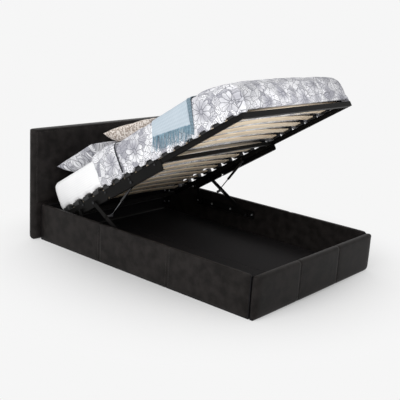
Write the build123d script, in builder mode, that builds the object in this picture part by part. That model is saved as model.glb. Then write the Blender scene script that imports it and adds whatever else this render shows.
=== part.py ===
from build123d import *
import os
from math import atan2, cos, degrees, hypot, pi, radians, sin, tan

# Ottoman bed with its platform raised, as it stands for loading the storage base.
# Millimetres. +X across the bed, +Y from the foot to the headboard, +Z up.
# The origin is on the floor under the middle of the whole bed.
# Sizes of the base along Y are measured from the foot panel's outer face.
# Sizes of the platform are its run, from its foot edge, and its rise, from its underside.
# "right" pieces are on the +X side and "left" ones are their mirror images.

os.makedirs("parts", exist_ok=True)

# Base, overall
base_length = 2020
base_width = 1400
rail_height = 280
running_gap = 0.3
hole_clearance = 0.1
overrun = 5

# Side rails: a board wrapped in padded faux leather
rail_board = 18
rail_padding = 8
rail_lining = 2
rail_top_padding = 8
rail_edge_radius = 7

# Foot panel
foot_board = 22
foot_padding = 20
foot_lining = 8
foot_top_padding = 14
foot_end_padding = 10
foot_panel_height = 276
foot_top_radius = 20
foot_end_radius = 8

# Headboard
headboard_thickness = 80
headboard_height = 845
headboard_overhang = 57
headboard_border = 77
headboard_board = 34
headboard_back_skin = 4
headboard_edge_padding = 24
headboard_edge_radius = 16
panel_crown = 8
panel_slope = 45
panel_gap = 7
panel_count = 3
panel_foot_height = 288
panel_corner_radius = 9
seam_width = 5
seam_depth = 2.5

# Boards of the storage floor and the board across its head end
floor_board = 9
floor_edge_gap = 2
batten_height = 18
batten_width = 60
batten_count = 4
batten_end_inset = 90
cross_board = 18
cross_board_bottom = 40
cross_board_top = 262

# Corner brackets and bolts
bracket_leg = 52
bracket_sheet = 3
bracket_bottom = 62
bracket_height = 160
bracket_bolt_inset = 32
bracket_bolt_edge = 30
bolt_radius = 4
bolt_head_radius = 7.5
bolt_head_height = 5
bolt_shank = 20

# Lift mechanism: the plate bolted to each rail and the pivots on it
hinge_plate = 4
hinge_plate_length = 624
hinge_plate_head_inset = 356
hinge_plate_bottom = 150
hinge_plate_height = 60
hinge_plate_flange = 22
hinge_plate_corner = 8
hinge_plate_bolt_height = 180
hinge_plate_bolt_shares = (0.032, 0.389, 0.708, 0.957)
front_pivot_inset = 65
front_pivot_height = 170

# Lift mechanism: the arm, its two angles above the level, and the platform's tilt
arm_length = 450
arm_width = 30
arm_sheet = 6
arm_angle_open = 30.3
arm_angle_closed = 8.3
platform_tilt = 31.5
strut_share_of_arm = 0.67
arm_side_gap = 13
pin_radius = 6
pin_head_radius = 10
pin_head = 5
bush_radius = 9

# Lift mechanism: rear link, whose lower pivot is set square to the chord of its travel
rear_pivot_head_inset = 265
rear_link_offset = 130
link_width = 28

# Gas strut
strut_pivot_reach = 582
strut_radius = 10
strut_wall = 2
strut_tube_length = 186
strut_cap = 6
strut_gland = 10
rod_radius = 4
rod_clearance = 0.2
piston_length = 10
piston_clearance = 0.2
strut_stud_radius = 5
strut_eye_radius = 10
strut_eye_width = 12
strut_neck_radius = 5.8
strut_neck_reach = 24
strut_side_gap = 4
stud_collar_radius = 7.5
stud_clip_radius = 8
stud_clip = 3

# Platform frame
platform_side_gap = 47
platform_foot_gap = 30
platform_head_gap = 35
platform_underside_closed = 245
tube_width = 20
tube_depth = 35
tube_wall = 2
tube_radius = 2
end_bar_width = 30
cross_bar_middle = 753
cross_bar_depth = 25

# Coupler angle under each side tube
coupler_sheet = 5
coupler_drop = 38
coupler_rise = 32
coupler_flange = 27
coupler_length = 930
coupler_end_reach = 26
coupler_corner = 14
coupler_pivot_rise = -10
coupler_bolt_rise = 17
coupler_bolt_count = 4
coupler_bolt_inset = 60
nut_height = 7
notch_slack = 5
notch_way_shares = (0, 0.25)

# Slats and the plastic holders that carry their ends
slat_width = 53
slat_sheet = 8
slat_end_inset = 23
slat_bow = 25
slat_end_rise = 46
foot_slats = 6
head_slats = 9
holder_length = 45
holder_reach = 50
holder_base = 74
holder_top = 66
holder_height = 26
holder_corner = 5
holder_pocket_depth = 30
holder_pocket_slack = 1
holder_pocket_spare = 4

# Bedding
mattress_side_inset = 15
mattress_head_overhang = 5
mattress_height = 155
mattress_foot_run = 20
mattress_corner = 50
mattress_edge = 24
duvet_side = 27
duvet_foot = 25
duvet_hem_rise = 66
duvet_shoulder = 34
duvet_foot_rise = 243
duvet_middle_rise = 277
duvet_head_rise = 272
duvet_crown = 20
turnback_length = 250
duvet_fold = 7
duvet_fold_pitch = 150
turnback_head_inset = 570
turnback_rise = 296
turnback_hem_rise = 92
turnback_side = 31
throw_start_run = 372
throw_end_run = 712
throw_margin = 32
throw_sheet = 5
throw_hem_rise = 178
throw_lean = 24
fringe_header = 6
fringe_length = 84
fringe_pitch = 13
fringe_width = 9
fringe_tip = 5
pillow_side_inset = 50
pillow_gap = 32
pillow_width = 440
pillow_thickness = 118
pillow_head_inset = 290
cushion_size = 430
cushion_thickness = 120
cushion_run_inset = 115
cushion_offset = -150
cushion_turn = 14
turnback_swell = 1
pillow_draw_share = 0.07
pillow_section_shares = (
    (-1, 0.30), (-0.86, 0.62), (-0.52, 0.87), (0, 1), (0.52, 0.87), (0.86, 0.62), (1, 0.30),
)


# Places worked out from the sizes above
bed_length = base_length + headboard_thickness
foot_face = -bed_length / 2
headboard_front = foot_face + base_length
headboard_slab = headboard_front + panel_crown
headboard_back = headboard_front + headboard_thickness
headboard_half = base_width / 2 + headboard_overhang
rail_thickness = rail_padding + rail_board + rail_lining
rail_outer = base_width / 2
rail_inner = rail_outer - rail_thickness
foot_thickness = foot_board + foot_padding + foot_lining
foot_inner = foot_face + foot_thickness
rail_length = headboard_slab - foot_inner
cross_board_front = headboard_slab - cross_board
storage_length = cross_board_front - foot_inner

platform_width = 2 * (rail_inner - platform_side_gap)
platform_length = base_length - foot_thickness - platform_foot_gap - platform_head_gap
tube_outer = platform_width / 2
tube_inner = tube_outer - tube_width
coupler_outer = tube_outer + coupler_sheet
arm_inner = coupler_outer + arm_side_gap
arm_outer = arm_inner + arm_sheet
plate_inner = rail_inner - hinge_plate
strut_middle = tube_inner - strut_side_gap - strut_radius

# Runs, from the foot, of the lift's fittings, which are set out from the head end
hinge_plate_start = base_length - hinge_plate_head_inset - hinge_plate_length
front_pivot_run = hinge_plate_start + front_pivot_inset
rear_pivot_run = platform_length - rear_pivot_head_inset
strut_pivot_run = rear_pivot_run - strut_pivot_reach
coupler_start = rear_pivot_run + coupler_end_reach - coupler_length

# Mattress and bedding, which follow the platform
mattress_width = platform_width - 2 * mattress_side_inset
mattress_length = platform_length - mattress_foot_run + mattress_head_overhang
mattress_half = mattress_width / 2
turnback_end_run = mattress_foot_run + mattress_length - turnback_head_inset
duvet_end_run = turnback_end_run - turnback_length
pillow_length = mattress_half - pillow_side_inset
pillow_offset = (pillow_length + pillow_gap) / 2
pillow_middle_run = mattress_foot_run + mattress_length - pillow_head_inset
cushion_middle_run = turnback_end_run - cushion_run_inset
slat_half_span = tube_outer - slat_end_inset
holder_inner = tube_outer - holder_reach


def step(angle, reach):
    """Y and Z steps along a direction that rises at the angle, in degrees, towards the headboard."""
    return reach * cos(radians(angle)), reach * sin(radians(angle))


def bed_point(foot_edge, tilt, run, rise):
    """Y and Z of a place on the platform, from its foot edge and its tilt."""
    y_run, z_run = step(-tilt, run)
    y_rise, z_rise = step(90 - tilt, rise)
    return foot_edge[0] + y_run + y_rise, foot_edge[1] + z_run + z_rise


def between(start, end):
    """Distance and angle, in degrees, from one Y and Z place to another."""
    y, z = end[0] - start[0], end[1] - start[1]
    return hypot(y, z), degrees(atan2(z, y))


# Front pivot, and the arm's upper pivot with the platform shut and raised
front_pivot = (foot_face + front_pivot_run, front_pivot_height)
shut_edge = (foot_inner + platform_foot_gap, platform_underside_closed)
arm_step_shut = step(arm_angle_closed, arm_length)
arm_step_open = step(arm_angle_open, arm_length)
arm_top_shut = (front_pivot[0] + arm_step_shut[0], front_pivot[1] + arm_step_shut[1])
arm_top = (front_pivot[0] + arm_step_open[0], front_pivot[1] + arm_step_open[1])
arm_pivot_run = arm_top_shut[0] - shut_edge[0]
arm_pivot_rise = arm_top_shut[1] - shut_edge[1]
back_from_arm = bed_point((0, 0), platform_tilt, arm_pivot_run, arm_pivot_rise)
open_edge = (arm_top[0] - back_from_arm[0], arm_top[1] - back_from_arm[1])

# Rear link: its upper pivot shut and raised, and its lower pivot on the plate
link_top = bed_point(open_edge, platform_tilt, rear_pivot_run, coupler_pivot_rise)
link_top_shut = bed_point(shut_edge, 0, rear_pivot_run, coupler_pivot_rise)
link_chord, link_chord_angle = between(link_top_shut, link_top)
link_middle = ((link_top[0] + link_top_shut[0]) / 2, (link_top[1] + link_top_shut[1]) / 2)
link_back = step(link_chord_angle + 90, rear_link_offset)
rear_pivot = (link_middle[0] + link_back[0], link_middle[1] + link_back[1])
link_length, link_angle = between(rear_pivot, link_top)
link_angle_shut = between(rear_pivot, link_top_shut)[1]

# Gas strut: from a stud under the side tube to a stud on the arm
strut_top = bed_point(open_edge, platform_tilt, strut_pivot_run, coupler_pivot_rise)
strut_top_shut = bed_point(shut_edge, 0, strut_pivot_run, coupler_pivot_rise)
strut_foot = tuple(a + (b - a) * strut_share_of_arm for a, b in zip(front_pivot, arm_top))
strut_foot_shut = tuple(a + (b - a) * strut_share_of_arm for a, b in zip(front_pivot, arm_top_shut))
strut_length, strut_angle = between(strut_top, strut_foot)
strut_length_shut, strut_angle_shut = between(strut_top_shut, strut_foot_shut)
strut_turn = strut_angle_shut - (strut_angle + platform_tilt)


def floor_plane(height):
    return Plane.XY.offset(height)


def side_plane(x):
    """Local X is the bed's Y and local Y is its Z. It faces +X."""
    return Plane(origin=(x, 0, 0), x_dir=(0, 1, 0), z_dir=(1, 0, 0))


def front_plane(y):
    """Local X is the bed's X and local Y is its Z. It faces the foot."""
    return Plane(origin=(0, y, 0), x_dir=(1, 0, 0), z_dir=(0, -1, 0))


along = (0, cos(radians(platform_tilt)), -sin(radians(platform_tilt)))
upward = (0, sin(radians(platform_tilt)), cos(radians(platform_tilt)))


def bed_origin(x, run, rise):
    y, z = bed_point(open_edge, platform_tilt, run, rise)
    return (x, y, z)


def bed_side(x):
    """Local X is the platform's run and local Y its rise. It faces +X."""
    return Plane(origin=bed_origin(x, 0, 0), x_dir=along, z_dir=(1, 0, 0))


def bed_cross(run):
    """Local X is the bed's X and local Y the platform's rise. It faces the foot."""
    return Plane(origin=bed_origin(0, run, 0), x_dir=(1, 0, 0), z_dir=tuple(-value for value in along))


def bed_level(rise):
    """Local X is the bed's X and local Y the platform's run. It faces away from the platform."""
    return Plane(origin=bed_origin(0, 0, rise), x_dir=(1, 0, 0), z_dir=upward)


def keep(piece, node):
    """Labels a finished piece and writes its file."""
    piece.part.label = node
    export_step(piece.part, f"parts/{node}.step")


def mirrored(piece):
    """The same piece on the bed's other side."""
    with BuildPart() as other:
        mirror(piece.part, about=Plane.YZ)
    return other


def disc(x_start, x_end, place, radius, mode=Mode.ADD):
    """A round along X between two places across the bed, at a Y and Z place."""
    with BuildSketch(side_plane(x_start)) as outline:
        with Locations(place):
            Circle(radius)
    extrude(outline.sketch, amount=x_end - x_start, mode=mode)


def hexagon(x_start, x_end, place, radius):
    with BuildSketch(side_plane(x_start)) as outline:
        with Locations(place):
            RegularPolygon(radius, 6)
    extrude(outline.sketch, amount=x_end - x_start)


# Seats of the bolts, each facing the way its head stands out
def corner_seats(side):
    """Seats on the two legs of the foot and head brackets on one side of the bed."""
    seats = {"rail": [], "foot": [], "cross": []}
    bracket_top = bracket_bottom + bracket_height
    for height in (bracket_bottom + bracket_bolt_edge, bracket_top - bracket_bolt_edge):
        rail_face = side * (rail_inner - bracket_sheet)
        leg = side * (rail_inner - bracket_bolt_inset)
        for y in (foot_inner + bracket_bolt_inset, cross_board_front - bracket_bolt_inset):
            seats["rail"].append(Plane(origin=(rail_face, y, height), z_dir=(-side, 0, 0)))
        seats["foot"].append(Plane(origin=(leg, foot_inner + bracket_sheet, height), z_dir=(0, 1, 0)))
        seats["cross"].append(Plane(origin=(leg, cross_board_front - bracket_sheet, height), z_dir=(0, -1, 0)))
    return seats


def plate_seats(side):
    """Seats of the bolts that hold one hinge plate to its rail."""
    face = side * plate_inner
    start = foot_face + hinge_plate_start
    runs = [start + share * hinge_plate_length for share in hinge_plate_bolt_shares]
    return [Plane(origin=(face, y, hinge_plate_bolt_height), z_dir=(-side, 0, 0)) for y in runs]


def drill(seats):
    """Clearance holes for the bolts in these seats."""
    for seat in seats:
        with BuildSketch(seat) as hole:
            Circle(bolt_radius + hole_clearance)
        extrude(hole.sketch, amount=-bolt_shank - hole_clearance, mode=Mode.SUBTRACT)


def add_bolts(seats):
    for seat in seats:
        with BuildSketch(seat) as head:
            RegularPolygon(bolt_head_radius, 6)
        extrude(head.sketch, amount=bolt_head_height)
        with BuildSketch(seat) as shank:
            Circle(bolt_radius)
        extrude(shank.sketch, amount=-bolt_shank)


right_corner, left_corner = corner_seats(1), corner_seats(-1)
right_rail_seats = right_corner["rail"] + plate_seats(1)
foot_seats = right_corner["foot"] + left_corner["foot"]
cross_seats = right_corner["cross"] + left_corner["cross"]


# Side rails
rail_middle = (foot_inner + headboard_slab) / 2
board_height = rail_height - rail_top_padding
board_middle = rail_inner + rail_lining + rail_board / 2

with BuildPart() as right_side_rail:
    with BuildSketch(floor_plane(0)):
        with Locations((board_middle, rail_middle)):
            Rectangle(rail_board, rail_length)
    extrude(amount=board_height)
    drill(right_rail_seats)
keep(right_side_rail, "right_side_rail")
left_side_rail = mirrored(right_side_rail)
keep(left_side_rail, "left_side_rail")

with BuildPart() as right_rail_cover:
    with BuildSketch(front_plane(foot_inner)) as profile:
        with Locations((rail_inner + rail_thickness / 2, rail_height / 2)):
            Rectangle(rail_thickness, rail_height)
        fillet(profile.vertices().group_by(Axis.Y)[-1], rail_edge_radius)
        with Locations((board_middle, board_height / 2)):
            Rectangle(rail_board, board_height, mode=Mode.SUBTRACT)
    extrude(amount=-rail_length)
    drill(right_rail_seats)
keep(right_rail_cover, "right_rail_cover")
left_rail_cover = mirrored(right_rail_cover)
keep(left_rail_cover, "left_rail_cover")

# Foot panel: a board in a padded cover with a rounded top, sewn in three lengths
foot_board_width = base_width - 2 * foot_end_padding
foot_board_height = foot_panel_height - foot_top_padding
foot_board_middle = foot_face + foot_padding + foot_board / 2

with BuildPart() as foot_panel:
    with BuildSketch(floor_plane(0)):
        with Locations((0, foot_board_middle)):
            Rectangle(foot_board_width, foot_board)
    extrude(amount=foot_board_height)
    drill(foot_seats)
keep(foot_panel, "foot_panel")

with BuildPart() as foot_panel_cover:
    with BuildSketch(side_plane(-rail_outer)) as profile:
        with Locations((foot_face + foot_thickness / 2, foot_panel_height / 2)):
            Rectangle(foot_thickness, foot_panel_height)
        fillet(profile.vertices().group_by(Axis.Y)[-1], foot_top_radius)
    extrude(amount=base_width)
    fillet(foot_panel_cover.edges().filter_by(Axis.Z), foot_end_radius)
    with BuildSketch(floor_plane(0)):
        with Locations((0, foot_board_middle)):
            Rectangle(foot_board_width, foot_board)
    extrude(amount=foot_board_height, mode=Mode.SUBTRACT)
    with BuildSketch(front_plane(foot_face + seam_depth)):
        with Locations((-base_width / 6, foot_panel_height / 2), (base_width / 6, foot_panel_height / 2)):
            Rectangle(seam_width, foot_panel_height)
    extrude(amount=seam_depth, mode=Mode.SUBTRACT)
    drill(foot_seats)
keep(foot_panel_cover, "foot_panel_cover")

# Headboard: a board to the floor in a padded cover with three crowned panels inside a border
headboard_board_height = headboard_height - headboard_edge_padding
headboard_board_middle = headboard_back - headboard_back_skin - headboard_board / 2
headboard_board_width = 2 * (headboard_half - headboard_edge_padding)

with BuildPart() as headboard_frame:
    with BuildSketch(floor_plane(0)):
        with Locations((0, headboard_board_middle)):
            Rectangle(headboard_board_width, headboard_board)
    extrude(amount=headboard_board_height)
keep(headboard_frame, "headboard_frame")

panel_field = 2 * (headboard_half - headboard_border)
panel_width = (panel_field - (panel_count - 1) * panel_gap) / panel_count
panel_height = headboard_height - headboard_border - panel_foot_height
panel_middle_height = panel_foot_height + panel_height / 2

with BuildPart() as headboard_cover:
    with BuildSketch(front_plane(headboard_slab)):
        with Locations((0, headboard_height / 2)):
            Rectangle(2 * headboard_half, headboard_height)
    extrude(amount=-(headboard_back - headboard_slab))
    side_edges = headboard_cover.edges().filter_by(Axis.Z)
    top_edges = headboard_cover.edges().filter_by(Axis.X).group_by(Axis.Z)[-1]
    fillet(side_edges + top_edges, headboard_edge_radius)
    with BuildSketch(front_plane(headboard_slab)):
        for place in range(panel_count):
            offset_x = (place - (panel_count - 1) / 2) * (panel_width + panel_gap)
            with Locations((offset_x, panel_middle_height)):
                RectangleRounded(panel_width, panel_height, panel_corner_radius)
    extrude(amount=panel_crown, taper=panel_slope)
    with BuildSketch(floor_plane(0)):
        with Locations((0, headboard_board_middle)):
            Rectangle(headboard_board_width, headboard_board)
    extrude(amount=headboard_board_height, mode=Mode.SUBTRACT)
keep(headboard_cover, "headboard_cover")

with BuildPart() as head_cross_board:
    with BuildSketch(floor_plane(cross_board_bottom)):
        with Locations((0, cross_board_front + cross_board / 2)):
            Rectangle(2 * rail_inner, cross_board)
    extrude(amount=cross_board_top - cross_board_bottom)
    drill(cross_seats)
keep(head_cross_board, "head_cross_board")

# Storage floor: two boards on battens between the rails
storage_middle = foot_inner + storage_length / 2
board_width = rail_inner - floor_edge_gap
batten_pitch = (storage_length - 2 * batten_end_inset) / (batten_count - 1)

with BuildPart() as right_floor_board:
    with BuildSketch(floor_plane(batten_height)):
        with Locations(((board_width + floor_edge_gap) / 2, storage_middle)):
            Rectangle(board_width - floor_edge_gap, storage_length - 2 * floor_edge_gap)
    extrude(amount=floor_board)
keep(right_floor_board, "right_floor_board")
left_floor_board = mirrored(right_floor_board)
keep(left_floor_board, "left_floor_board")

with BuildPart() as floor_battens:
    with BuildSketch(floor_plane(0)):
        with Locations((0, storage_middle)):
            with GridLocations(0, batten_pitch, 1, batten_count):
                Rectangle(2 * (rail_inner - running_gap), batten_width)
    extrude(amount=batten_height)
keep(floor_battens, "floor_battens")

# Steel brackets in the four corners of the base
with BuildPart() as right_brackets:
    for corner_y, inward in ((foot_inner, 1), (cross_board_front, -1)):
        with BuildSketch(floor_plane(bracket_bottom)):
            with BuildLine():
                Polyline(
                    (rail_inner, corner_y),
                    (rail_inner, corner_y + inward * bracket_leg),
                    (rail_inner - bracket_sheet, corner_y + inward * bracket_leg),
                    (rail_inner - bracket_sheet, corner_y + inward * bracket_sheet),
                    (rail_inner - bracket_leg, corner_y + inward * bracket_sheet),
                    (rail_inner - bracket_leg, corner_y),
                    close=True,
                )
            make_face()
        extrude(amount=bracket_height)
    drill(right_corner["rail"] + right_corner["foot"] + right_corner["cross"])

with BuildPart() as corner_brackets:
    add(right_brackets.part)
    mirror(right_brackets.part, about=Plane.YZ)
keep(corner_brackets, "corner_brackets")

with BuildPart() as base_bolts:
    for corner in (right_corner, left_corner):
        add_bolts(corner["rail"] + corner["foot"] + corner["cross"])
    add_bolts(plate_seats(1) + plate_seats(-1))
keep(base_bolts, "base_bolts")

# Hinge plates: a steel angle along each rail that carries the lift's two lower pivots
hinge_plate_middle = foot_face + hinge_plate_start + hinge_plate_length / 2

with BuildPart() as right_hinge_plate:
    with BuildSketch(side_plane(plate_inner)) as leaf:
        with Locations((hinge_plate_middle, hinge_plate_bottom + hinge_plate_height / 2)):
            Rectangle(hinge_plate_length, hinge_plate_height)
        fillet(leaf.vertices().group_by(Axis.Y)[-1], hinge_plate_corner)
    extrude(amount=hinge_plate)
    with BuildSketch(floor_plane(hinge_plate_bottom)) as flange:
        with Locations((rail_inner - hinge_plate_flange / 2, hinge_plate_middle)):
            Rectangle(hinge_plate_flange, hinge_plate_length)
        fillet(flange.vertices().group_by(Axis.X)[0], hinge_plate_corner)
    extrude(amount=hinge_plate)
    drill(plate_seats(1))
keep(right_hinge_plate, "right_hinge_plate")
left_hinge_plate = mirrored(right_hinge_plate)
keep(left_hinge_plate, "left_hinge_plate")

# Pivot pins on the plates: a spacer bush, the pin through the arm or link, and its head
with BuildPart() as right_base_pins:
    for pivot in (front_pivot, rear_pivot):
        disc(plate_inner, arm_outer + running_gap, pivot, bush_radius)
        disc(arm_outer + running_gap, arm_inner - running_gap, pivot, pin_radius)
        disc(arm_inner - running_gap, arm_inner - running_gap - pin_head, pivot, pin_head_radius)

with BuildPart() as base_pivot_pins:
    add(right_base_pins.part)
    mirror(right_base_pins.part, about=Plane.YZ)
keep(base_pivot_pins, "base_pivot_pins")


def bar(start, end, width, thickness, x):
    """A flat bar with round ends from one Y and Z place to another, from a place across the bed."""
    length, angle = between(start, end)
    middle = ((start[0] + end[0]) / 2, (start[1] + end[1]) / 2)
    with BuildSketch(side_plane(x)) as outline:
        with Locations(Location((*middle, 0), (0, 0, angle))):
            SlotCenterToCenter(length, width)
    extrude(outline.sketch, amount=thickness)


# Lift arms, with the boss that holds the strut's lower stud
with BuildPart() as right_lift_arm:
    bar(front_pivot, arm_top, arm_width, arm_sheet, arm_inner)
    disc(arm_outer, arm_outer + pin_head, strut_foot, bush_radius)
    for pivot in (front_pivot, arm_top):
        disc(arm_inner - overrun, arm_outer + overrun, pivot, pin_radius + hole_clearance, Mode.SUBTRACT)
keep(right_lift_arm, "right_lift_arm")
left_lift_arm = mirrored(right_lift_arm)
keep(left_lift_arm, "left_lift_arm")

# Rear links, each with its upper pin
with BuildPart() as right_rear_link:
    bar(rear_pivot, link_top, link_width, arm_sheet, arm_inner)
    disc(arm_outer, arm_outer + pin_head, link_top, bush_radius)
    disc(arm_inner, coupler_outer + running_gap, link_top, pin_radius)
    disc(arm_inner - overrun, arm_outer + overrun, rear_pivot, pin_radius + hole_clearance, Mode.SUBTRACT)
keep(right_rear_link, "right_rear_link")
left_rear_link = mirrored(right_rear_link)
keep(left_rear_link, "left_rear_link")

# Runs of the bolts that hold each coupler angle to its side tube
coupler_bolt_start = coupler_start + coupler_bolt_inset
coupler_bolt_pitch = (coupler_length - 2 * coupler_bolt_inset) / (coupler_bolt_count - 1)
coupler_bolt_runs = [coupler_bolt_start + i * coupler_bolt_pitch for i in range(coupler_bolt_count)]

# Platform frame: two side tubes, each closed at its foot end, with three bars welded between
with BuildPart() as right_side_tube:
    with BuildSketch(bed_cross(0)):
        with Locations((tube_outer - tube_width / 2, tube_depth / 2)):
            RectangleRounded(tube_width, tube_depth, tube_radius)
    extrude(amount=-platform_length)
    with BuildSketch(bed_cross(tube_wall)):
        with Locations((tube_outer - tube_width / 2, tube_depth / 2)):
            Rectangle(tube_width - 2 * tube_wall, tube_depth - 2 * tube_wall)
    extrude(amount=-platform_length, mode=Mode.SUBTRACT)
    with BuildSketch(bed_side(tube_inner - overrun)):
        with Locations([(run, coupler_bolt_rise) for run in coupler_bolt_runs]):
            Circle(bolt_radius + hole_clearance)
    extrude(amount=tube_width + 2 * overrun, mode=Mode.SUBTRACT)
keep(right_side_tube, "right_side_tube")
left_side_tube = mirrored(right_side_tube)
keep(left_side_tube, "left_side_tube")


def platform_bar(run, width, depth):
    """A tube across the platform, flush with the top of the side tubes."""
    with BuildPart() as tube:
        with BuildSketch(bed_side(-tube_inner)):
            with Locations((run + width / 2, tube_depth - depth / 2)):
                RectangleRounded(width, depth, tube_radius)
                Rectangle(width - 2 * tube_wall, depth - 2 * tube_wall, mode=Mode.SUBTRACT)
        extrude(amount=2 * tube_inner)
    return tube


foot_bar = platform_bar(0, end_bar_width, tube_depth)
keep(foot_bar, "foot_bar")
cross_bar = platform_bar(cross_bar_middle - end_bar_width / 2, end_bar_width, cross_bar_depth)
keep(cross_bar, "cross_bar")
head_bar = platform_bar(platform_length - end_bar_width, end_bar_width, tube_depth)
keep(head_bar, "head_bar")

# Way of the strut's lower stud past the coupler angle, near the shut end of its travel
notch_width = 2 * stud_collar_radius + notch_slack


def stud_on_platform(share):
    """Run and rise of the lower stud, a share of the travel away from shut."""
    angle = strut_angle_shut - share * strut_turn
    reach = strut_length_shut + share * (strut_length - strut_length_shut)
    run, rise = step(angle, reach)
    return strut_pivot_run + run, coupler_pivot_rise + rise


notch_top, notch_bottom = (stud_on_platform(share) for share in notch_way_shares)
notch_length, notch_angle = between(notch_bottom, notch_top)
notch_middle = ((notch_top[0] + notch_bottom[0]) / 2, (notch_top[1] + notch_bottom[1]) / 2)

# Coupler angles: a leaf on the outer face of each side tube and a flange turned in under it
with BuildPart() as right_coupler_angle:
    leaf_height = coupler_drop + coupler_rise
    leaf_middle = coupler_start + coupler_length / 2
    with BuildSketch(bed_side(tube_outer)) as leaf:
        with Locations((leaf_middle, coupler_rise - leaf_height / 2)):
            Rectangle(coupler_length, leaf_height)
        fillet(leaf.vertices(), coupler_corner)
    extrude(amount=coupler_sheet)
    with BuildSketch(bed_level(-coupler_drop)):
        with Locations((coupler_outer - coupler_flange / 2, leaf_middle)):
            Rectangle(coupler_flange, coupler_length - 2 * coupler_corner)
    extrude(amount=coupler_sheet)
    with BuildSketch(bed_side(tube_outer - coupler_flange)):
        with Locations(Location((*notch_middle, 0), (0, 0, notch_angle))):
            SlotCenterToCenter(notch_length, notch_width)
    extrude(amount=coupler_flange + coupler_sheet + overrun, mode=Mode.SUBTRACT)
    with BuildSketch(bed_side(tube_outer - overrun)):
        with Locations((arm_pivot_run, arm_pivot_rise)):
            Circle(pin_radius + hole_clearance)
        with Locations((strut_pivot_run, coupler_pivot_rise)):
            Circle(strut_stud_radius + hole_clearance)
        with Locations([(run, coupler_bolt_rise) for run in coupler_bolt_runs]):
            Circle(bolt_radius + hole_clearance)
    extrude(amount=coupler_sheet + 2 * overrun, mode=Mode.SUBTRACT)
keep(right_coupler_angle, "right_coupler_angle")
left_coupler_angle = mirrored(right_coupler_angle)
keep(left_coupler_angle, "left_coupler_angle")

# Bolts through the coupler angles and side tubes, with their nuts inside the frame
with BuildPart() as right_platform_bolts:
    for run in coupler_bolt_runs:
        place = bed_point(open_edge, platform_tilt, run, coupler_bolt_rise)
        hexagon(coupler_outer, coupler_outer + bolt_head_height, place, bolt_head_radius)
        disc(coupler_outer, tube_inner, place, bolt_radius)
        hexagon(tube_inner, tube_inner - bolt_head_height, place, bolt_head_radius)

with BuildPart() as platform_bolts:
    add(right_platform_bolts.part)
    mirror(right_platform_bolts.part, about=Plane.YZ)
keep(platform_bolts, "platform_bolts")

# Pivot pins on the coupler angles: the arm's pin, the strut's stud and the rear link's nut
strut_eye_outer = strut_middle + strut_eye_width / 2
strut_eye_inner = strut_middle - strut_eye_width / 2

with BuildPart() as right_platform_pins:
    hexagon(tube_outer, tube_outer - nut_height, arm_top, pin_head_radius)
    disc(tube_outer, arm_outer + running_gap, arm_top, pin_radius)
    disc(coupler_outer, arm_inner - running_gap, arm_top, bush_radius)
    disc(arm_outer + running_gap, arm_outer + running_gap + pin_head, arm_top, pin_head_radius)
    hexagon(coupler_outer, coupler_outer + nut_height, strut_top, pin_head_radius)
    disc(coupler_outer, strut_eye_inner - running_gap, strut_top, strut_stud_radius)
    disc(tube_outer, strut_eye_outer + running_gap, strut_top, stud_collar_radius)
    clip_outer = strut_eye_inner - running_gap
    disc(clip_outer, clip_outer - stud_clip, strut_top, stud_clip_radius)
    hexagon(tube_outer, tube_outer - nut_height, link_top, pin_head_radius)

with BuildPart() as platform_pivot_pins:
    add(right_platform_pins.part)
    mirror(right_platform_pins.part, about=Plane.YZ)
keep(platform_pivot_pins, "platform_pivot_pins")


# Gas struts, drawn along their own line from the upper stud
def strut_plane():
    """Local X runs from the upper stud to the lower one, and local Y is square to it."""
    direction = (0, *step(strut_angle, 1))
    return Plane(origin=(strut_middle, *strut_top), x_dir=direction, z_dir=(1, 0, 0))


strut_axis = Axis((strut_middle, *strut_top), (0, *step(strut_angle, 1)))
tube_end = strut_neck_reach + strut_tube_length
gland_start = tube_end - strut_gland
bore_radius = strut_radius - strut_wall
rod_end = strut_length - strut_neck_reach

with BuildPart() as right_strut_cylinder:
    with BuildSketch(strut_plane()):
        with BuildLine():
            Polyline(
                (strut_neck_reach, 0),
                (strut_neck_reach, strut_radius),
                (tube_end, strut_radius),
                (tube_end, rod_radius + rod_clearance),
                (gland_start, rod_radius + rod_clearance),
                (gland_start, bore_radius),
                (strut_neck_reach + strut_cap, bore_radius),
                (strut_neck_reach + strut_cap, 0),
                close=True,
            )
        make_face()
    revolve(axis=strut_axis)
keep(right_strut_cylinder, "right_strut_cylinder")
left_strut_cylinder = mirrored(right_strut_cylinder)
keep(left_strut_cylinder, "left_strut_cylinder")

piston_end = gland_start - piston_length
piston_radius = bore_radius - piston_clearance

with BuildPart() as right_strut_rod:
    with BuildSketch(strut_plane()):
        with BuildLine():
            Polyline(
                (piston_end - piston_length, 0),
                (piston_end - piston_length, piston_radius),
                (piston_end, piston_radius),
                (piston_end, rod_radius),
                (rod_end, rod_radius),
                (rod_end, 0),
                close=True,
            )
        make_face()
    revolve(axis=strut_axis)
keep(right_strut_rod, "right_strut_rod")
left_strut_rod = mirrored(right_strut_rod)
keep(left_strut_rod, "left_strut_rod")


def strut_socket(eye, neck_start, neck_end):
    """An eye round a stud and the neck that joins it to the tube or rod."""
    disc(strut_eye_inner, strut_eye_outer, eye, strut_eye_radius)
    with BuildSketch(strut_plane()) as neck:
        with BuildLine():
            Polyline(
                (neck_start, 0),
                (neck_start, strut_neck_radius),
                (neck_end, strut_neck_radius),
                (neck_end, 0),
                close=True,
            )
        make_face()
    revolve(neck.sketch, axis=strut_axis)
    eye_hole = strut_stud_radius + hole_clearance
    disc(strut_eye_inner - overrun, strut_eye_outer + overrun, eye, eye_hole, Mode.SUBTRACT)


with BuildPart() as right_upper_socket:
    strut_socket(strut_top, strut_stud_radius, strut_neck_reach)

with BuildPart() as upper_strut_sockets:
    add(right_upper_socket.part)
    mirror(right_upper_socket.part, about=Plane.YZ)
keep(upper_strut_sockets, "upper_strut_sockets")

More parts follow.
